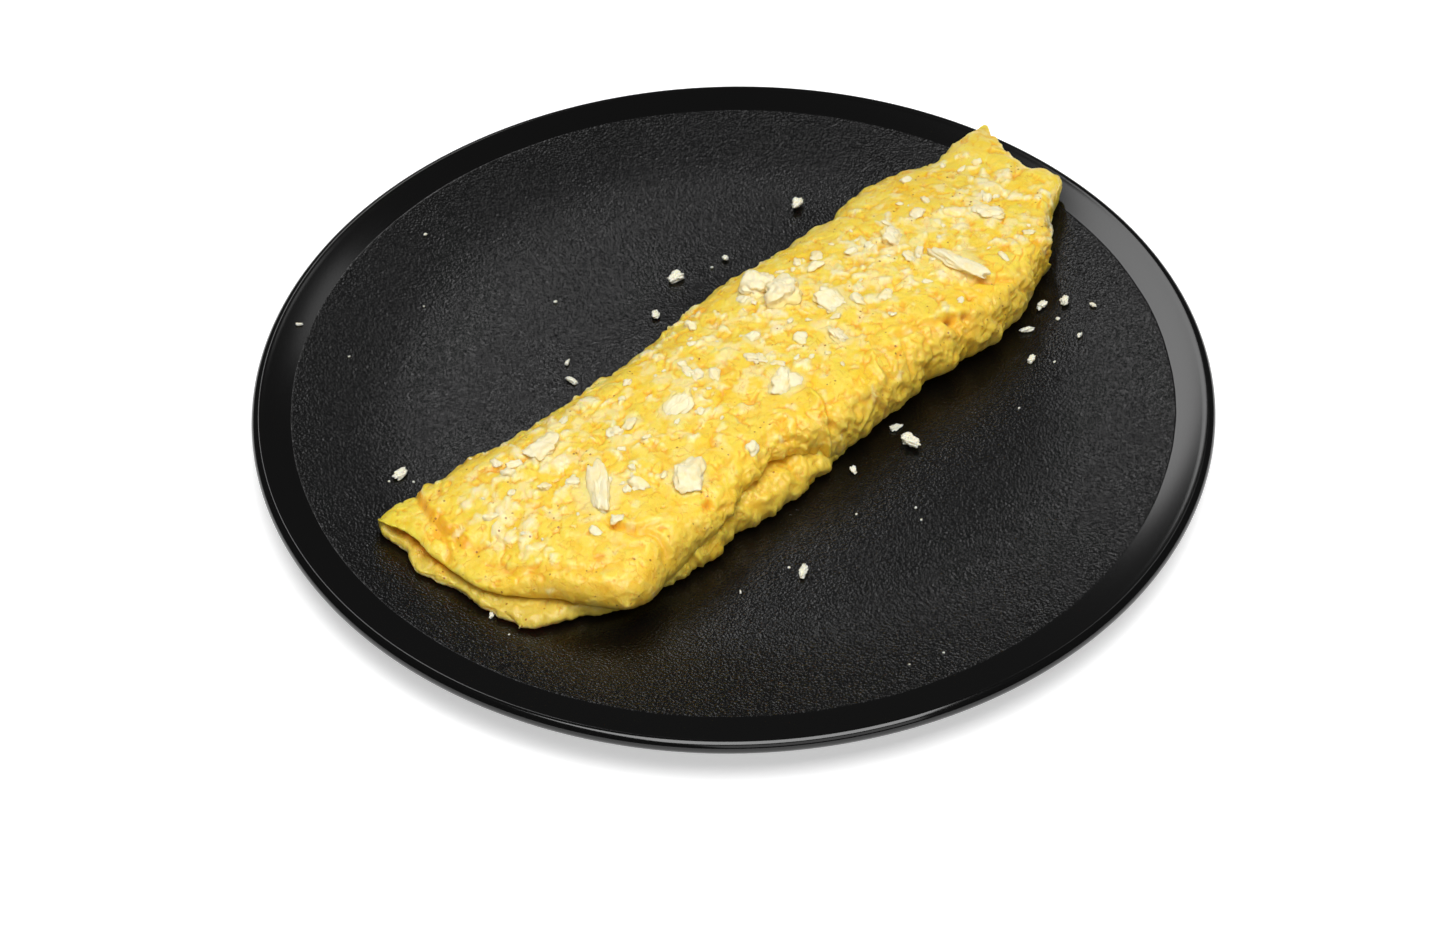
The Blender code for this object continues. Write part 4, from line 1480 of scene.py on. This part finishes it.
@dataclass(frozen=True)
class EggFinish:
    """Cooked egg: golden yellow with cream and deep orange patches, moist, and lit through a little, with
    painted shade in its hollows, cracks, pits and grooves and on its steep front.
    """

    yellow: Colour = (255, 219, 82)
    deep: Colour = (255, 208, 50)
    cream: Colour = (255, 230, 134)
    # Darker, duller yellow: painted shade on the steep front and the lower lap, and the duller tone of the
    # skirt.
    pale_and_shade: Colour = (233, 198, 72)
    orange: Colour = (238, 152, 10)
    shadow: Colour = (244, 188, 32)
    # Painted shade in the cracks between curds.
    crack_shade: Colour = (232, 154, 14)
    melt: Colour = (254, 229, 158)
    lump: Colour = (253, 233, 184)
    # Dark brown: the middles of holes and small specks.
    dark_brown: Colour = (150, 84, 20)
    film: Colour = (212, 190, 84)
    roughness: tuple[float, float] = (0.30, 0.50)

    def material(self) -> bpy.types.Material:
        """Makes the material.

        Returns:
            A material that reads the masks hollow, melt, toast, pale, film and burnt.
        """
        graph = Graph("cooked_egg")
        patches = graph.remap(graph.noise(130, detail=4, roughness=0.6, warp=0.8), 0.46, 0.68)
        light = graph.remap(graph.noise(170, detail=3, roughness=0.6, warp=0.8), 0.50, 0.70)
        # Painted shade: a darker yellow on the steep front, the shadow colour in hollows, and orange in
        # pits, dashes and grooves beside real browning.
        layers = ((patches, 0.8, self.deep), (light, 0.7, self.cream), (graph.mask("pale_and_shade"), 0.7, self.pale_and_shade),
                  (graph.mask("hollow_shade"), 0.5, self.shadow), (graph.mask("browning_and_shade"), 0.62, self.orange),
                  (graph.mask("film"), 0.6, self.film))
        colour = srgb(*self.yellow)
        for mask, strength, over in layers:
            colour = graph.laid(colour, over, graph.product(mask, strength))
        melt = graph.mask("melt")
        colour = graph.laid(colour, self.melt, graph.remap(melt, 0.0, 0.5, 0.0, 0.8))
        colour = graph.laid(colour, self.lump, graph.remap(melt, 0.5, 1.0, 0.0, 0.85))
        # Brown hole middles: painted shade in the deep holes, a brown speck in the shallow one.
        colour = graph.laid(colour, self.dark_brown, graph.mask("brown_speck_and_hole_shade"))

        edges = graph.cells(480, "DISTANCE_TO_EDGE", graph.bent(reach=0.0012, scale=420))
        short = graph.remap(graph.noise(300, detail=2, roughness=0.6), 0.54, 0.62)
        bare = graph.remap(melt, 0.9, 0.3)
        cracks = graph.product(graph.remap(edges, 0.06, 0.015), graph.product(short, bare))
        # Painted shade: orange in the cracks, which the bump below also presses in.
        colour = graph.laid(colour, self.crack_shade, graph.product(cracks, 0.42))
        # Small dark brown specks, in groups.
        dots = graph.remap(graph.cells(420), 0.17, 0.10)
        groups = graph.remap(graph.noise(150), 0.52, 0.60)
        colour = graph.laid(colour, self.dark_brown, graph.product(graph.product(dots, groups), 0.8))

        normal = graph.bump(graph.noise(1700, detail=3, roughness=0.6), 0.5, 0.00016)
        normal = graph.bump(graph.noise(620, detail=3, roughness=0.6, warp=0.4), 0.5, 0.0006, normal)
        normal = graph.bump(graph.maths("SUBTRACT", 1.0, cracks), 0.6, 0.0003, normal)
        graph.set(Base_Color=colour, Roughness=graph.remap(graph.noise(240), 0.3, 0.7, *self.roughness),
                  Normal=normal, Subsurface_Weight=0.7, Subsurface_Radius=(1.0, 0.7, 0.25),
                  Subsurface_Scale=0.003, IOR=1.42, Coat_Weight=0.22, Coat_Roughness=0.24)
        return graph.material


@dataclass(frozen=True)
class CheeseFinish:
    """Crumbly ivory cheese, softly lit through, with a grainy surface."""

    ivory: Colour = (250, 238, 200)
    cream: Colour = (252, 229, 170)
    dry: Colour = (240, 236, 214)
    base: Colour = (252, 226, 140)

    def material(self) -> bpy.types.Material:
        """Makes the material.

        Returns:
            A material that reads the masks base and dry.
        """
        graph = Graph("white_cheese")
        patches = graph.remap(graph.noise(260, detail=3, roughness=0.6), 0.4, 0.7)
        colour = graph.laid(srgb(*self.ivory), self.cream, patches)
        colour = graph.laid(colour, self.base, graph.product(graph.mask("base"), 0.75))
        colour = graph.laid(colour, self.dry, graph.mask("dry"))
        normal = graph.bump(graph.noise(2600, detail=3, roughness=0.65), 0.3, 0.00012)
        normal = graph.bump(graph.noise(700, detail=3, roughness=0.55), 0.4, 0.0006, normal)
        graph.set(Base_Color=colour, Roughness=0.5, Normal=normal, Subsurface_Weight=0.4,
                  Subsurface_Radius=(1.0, 0.8, 0.5), Subsurface_Scale=0.0012, IOR=1.4)
        return graph.material


@dataclass(frozen=True)
class StonewareFinish:
    """Black glaze: satin and leathery on the floor, glossy on the sloping band, the lip and below."""

    band_inner: float
    black: Colour = (6, 6, 6)
    satin: float = 0.15
    gloss: float = 0.11
    edge_wobble: float = 0.6
    edge_softness: float = 0.2

    def material(self) -> bpy.types.Material:
        """Makes the material: its floor ends at a distance sqrt(x^2 + y^2), with a slight wobble.

        Returns:
            The material.
        """
        graph = Graph("black_stoneware")
        split = graph.node("ShaderNodeSeparateXYZ")
        graph.feed(split.inputs[0], graph.place)
        squares = [graph.product(split.outputs[axis], split.outputs[axis]) for axis in (0, 1)]
        radius = graph.maths("SQRT", graph.maths("ADD", *squares))
        wobble = graph.product(graph.maths("SUBTRACT", graph.noise(60), 0.5), self.edge_wobble * MM)
        edge, soft = self.band_inner * MM, self.edge_softness * MM
        floor = graph.remap(graph.maths("ADD", radius, wobble), edge + soft, edge - soft)
        leather = graph.product(graph.noise(1500, detail=1), floor)
        rough = graph.maths("ADD", self.gloss, graph.product(floor, self.satin - self.gloss))
        graph.set(Base_Color=srgb(*self.black), Roughness=rough, Normal=graph.bump(leather, 0.5, 0.00034),
                  IOR=1.5)
        return graph.material


@dataclass(frozen=True)
class FloorFinish:
    """A plain white table, bright enough to stay white in the camera."""

    white: Colour = (245, 245, 245)
    glow: float = 0.45

    def material(self) -> bpy.types.Material:
        """Makes the material.

        Returns:
            The material.
        """
        graph = Graph("white_table")
        graph.set(Base_Color=srgb(*self.white), Roughness=0.8, Emission_Color=(1, 1, 1, 1),
                  Emission_Strength=self.glow, Specular_IOR_Level=0.0)
        return graph.material


# ---------------------------------------------------------------------------- studio
class Diffuser(Enum):
    """The studio's lamps.

    Each has its direction from the aim (to the camera's right, away from it, and up), its width and height
    in metres, its distance in metres and its power in watts.
    """

    WINDOW = ((-0.1106, 0.723, 0.682), (0.55, 1.9), 6.0, 11.7)
    SIDE = ((0.165, 0.662, 0.731), (0.63, 0.55), 6.0, 1.6)
    OVERHEAD = ((0.05, -0.20, 1.0), (1.15, 1.15), 1.6, 27.5)
    FRONT = ((0.25, -0.85, 0.55), (1.2, 0.9), 1.7, 4.0)


@dataclass
class Studio:
    """The floor, the lamps and the camera, turned so that the camera looks across the omelette."""

    aim: tuple[float, float, float]
    heading: float = 41.2
    elevation: float = 44.76
    roll: float = -1.21
    distance: float = 800.0
    lens: float = 76.26
    sensor: float = 36.0
    clip: tuple[float, float] = (50.0, 20000.0)
    floor_size: float = 7000.0
    floor_gap: float = 0.05
    air_strength: float = 0.08

    def axes(self) -> tuple[Vector, Vector]:
        """The level directions that are to the camera's right and away from it."""
        turn = math.radians(self.heading)
        return (Vector((math.cos(turn), -math.sin(turn), 0)), Vector((math.sin(turn), math.cos(turn), 0)))

    def camera(self) -> None:
        """Places the camera at its distance along its line of sight to the aim, and rolls it."""
        right, away = self.axes()
        tilt = math.radians(self.elevation)
        back = -math.cos(tilt) * away + math.sin(tilt) * UP
        up = back.cross(right)
        roll = math.radians(self.roll)
        across = math.cos(roll) * right + math.sin(roll) * up
        upright = -math.sin(roll) * right + math.cos(roll) * up
        data = bpy.data.cameras.new("camera")
        data.lens, data.sensor_width = self.lens, self.sensor
        data.clip_start, data.clip_end = (MM * reach for reach in self.clip)
        made = bpy.data.objects.new("camera", data)
        place = (Vector(self.aim) + self.distance * back) * MM
        turned = Matrix((across, upright, back)).transposed().to_4x4()
        made.matrix_world = Matrix.Translation(place) @ turned
        bpy.context.scene.collection.objects.link(made)
        bpy.context.scene.camera = made

    def lamps(self) -> None:
        """Places each diffuser on its line from the aim, facing it."""
        right, away = self.axes()
        for lamp in Diffuser:
            (aside, ahead, above), size, distance, power = lamp.value
            toward = (aside * right + ahead * away + above * UP).normalized()
            data = bpy.data.lights.new(lamp.name.lower(), "AREA")
            data.shape = "RECTANGLE"
            data.size, data.size_y = size
            data.energy = power
            made = bpy.data.objects.new(lamp.name.lower(), data)
            made.location = Vector(self.aim) * MM + toward * distance
            made.rotation_euler = toward.to_track_quat("Z", "Y").to_euler()
            bpy.context.scene.collection.objects.link(made)

    def floor(self) -> None:
        """Lays the table, just under the plate's foot."""
        half, level = self.floor_size * MM / 2, -self.floor_gap * MM
        corners = ((-half, -half), (half, -half), (half, half), (-half, half))
        mesh = bpy.data.meshes.new("floor")
        mesh.from_pydata([(x, y, level) for x, y in corners], [], [(0, 1, 2, 3)])
        mesh.materials.append(FloorFinish().material())
        made = bpy.data.objects.new("floor", mesh)
        bpy.context.scene.collection.objects.link(made)

    def air(self) -> None:
        """Fills the room with a dim, even light."""
        world = bpy.data.worlds.new("room")
        world.use_nodes = True
        background = world.node_tree.nodes["Background"]
        background.inputs["Color"].default_value = (1, 1, 1, 1)
        background.inputs["Strength"].default_value = self.air_strength
        bpy.context.scene.world = world

    def build(self) -> None:
        """Sets up the whole studio, with colours shown as they are."""
        self.floor()
        self.air()
        self.lamps()
        self.camera()
        bpy.context.scene.view_settings.view_transform = "Standard"


def main() -> None:
    """Builds the plate, the omelette and the cheese, and the studio around them."""
    logging.basicConfig(level=logging.INFO, format="%(message)s")
    low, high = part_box("plate")
    plate = Plate(radius=high.x / MM, height=high.z / MM)
    glaze = StonewareFinish(plate.band_inner).material()
    Piece("plate_turned", plate.shape(), glaze, "black_stoneware", ("plate",)).build()

    top = Omelette(plate, Cheese.places(), EggFinish().material()).build()
    Cheese(plate, top, CheeseFinish().material()).build()
    Studio(aim=(-27.2, -25.1, plate.height)).build()


if __name__ == "__main__":
    main()
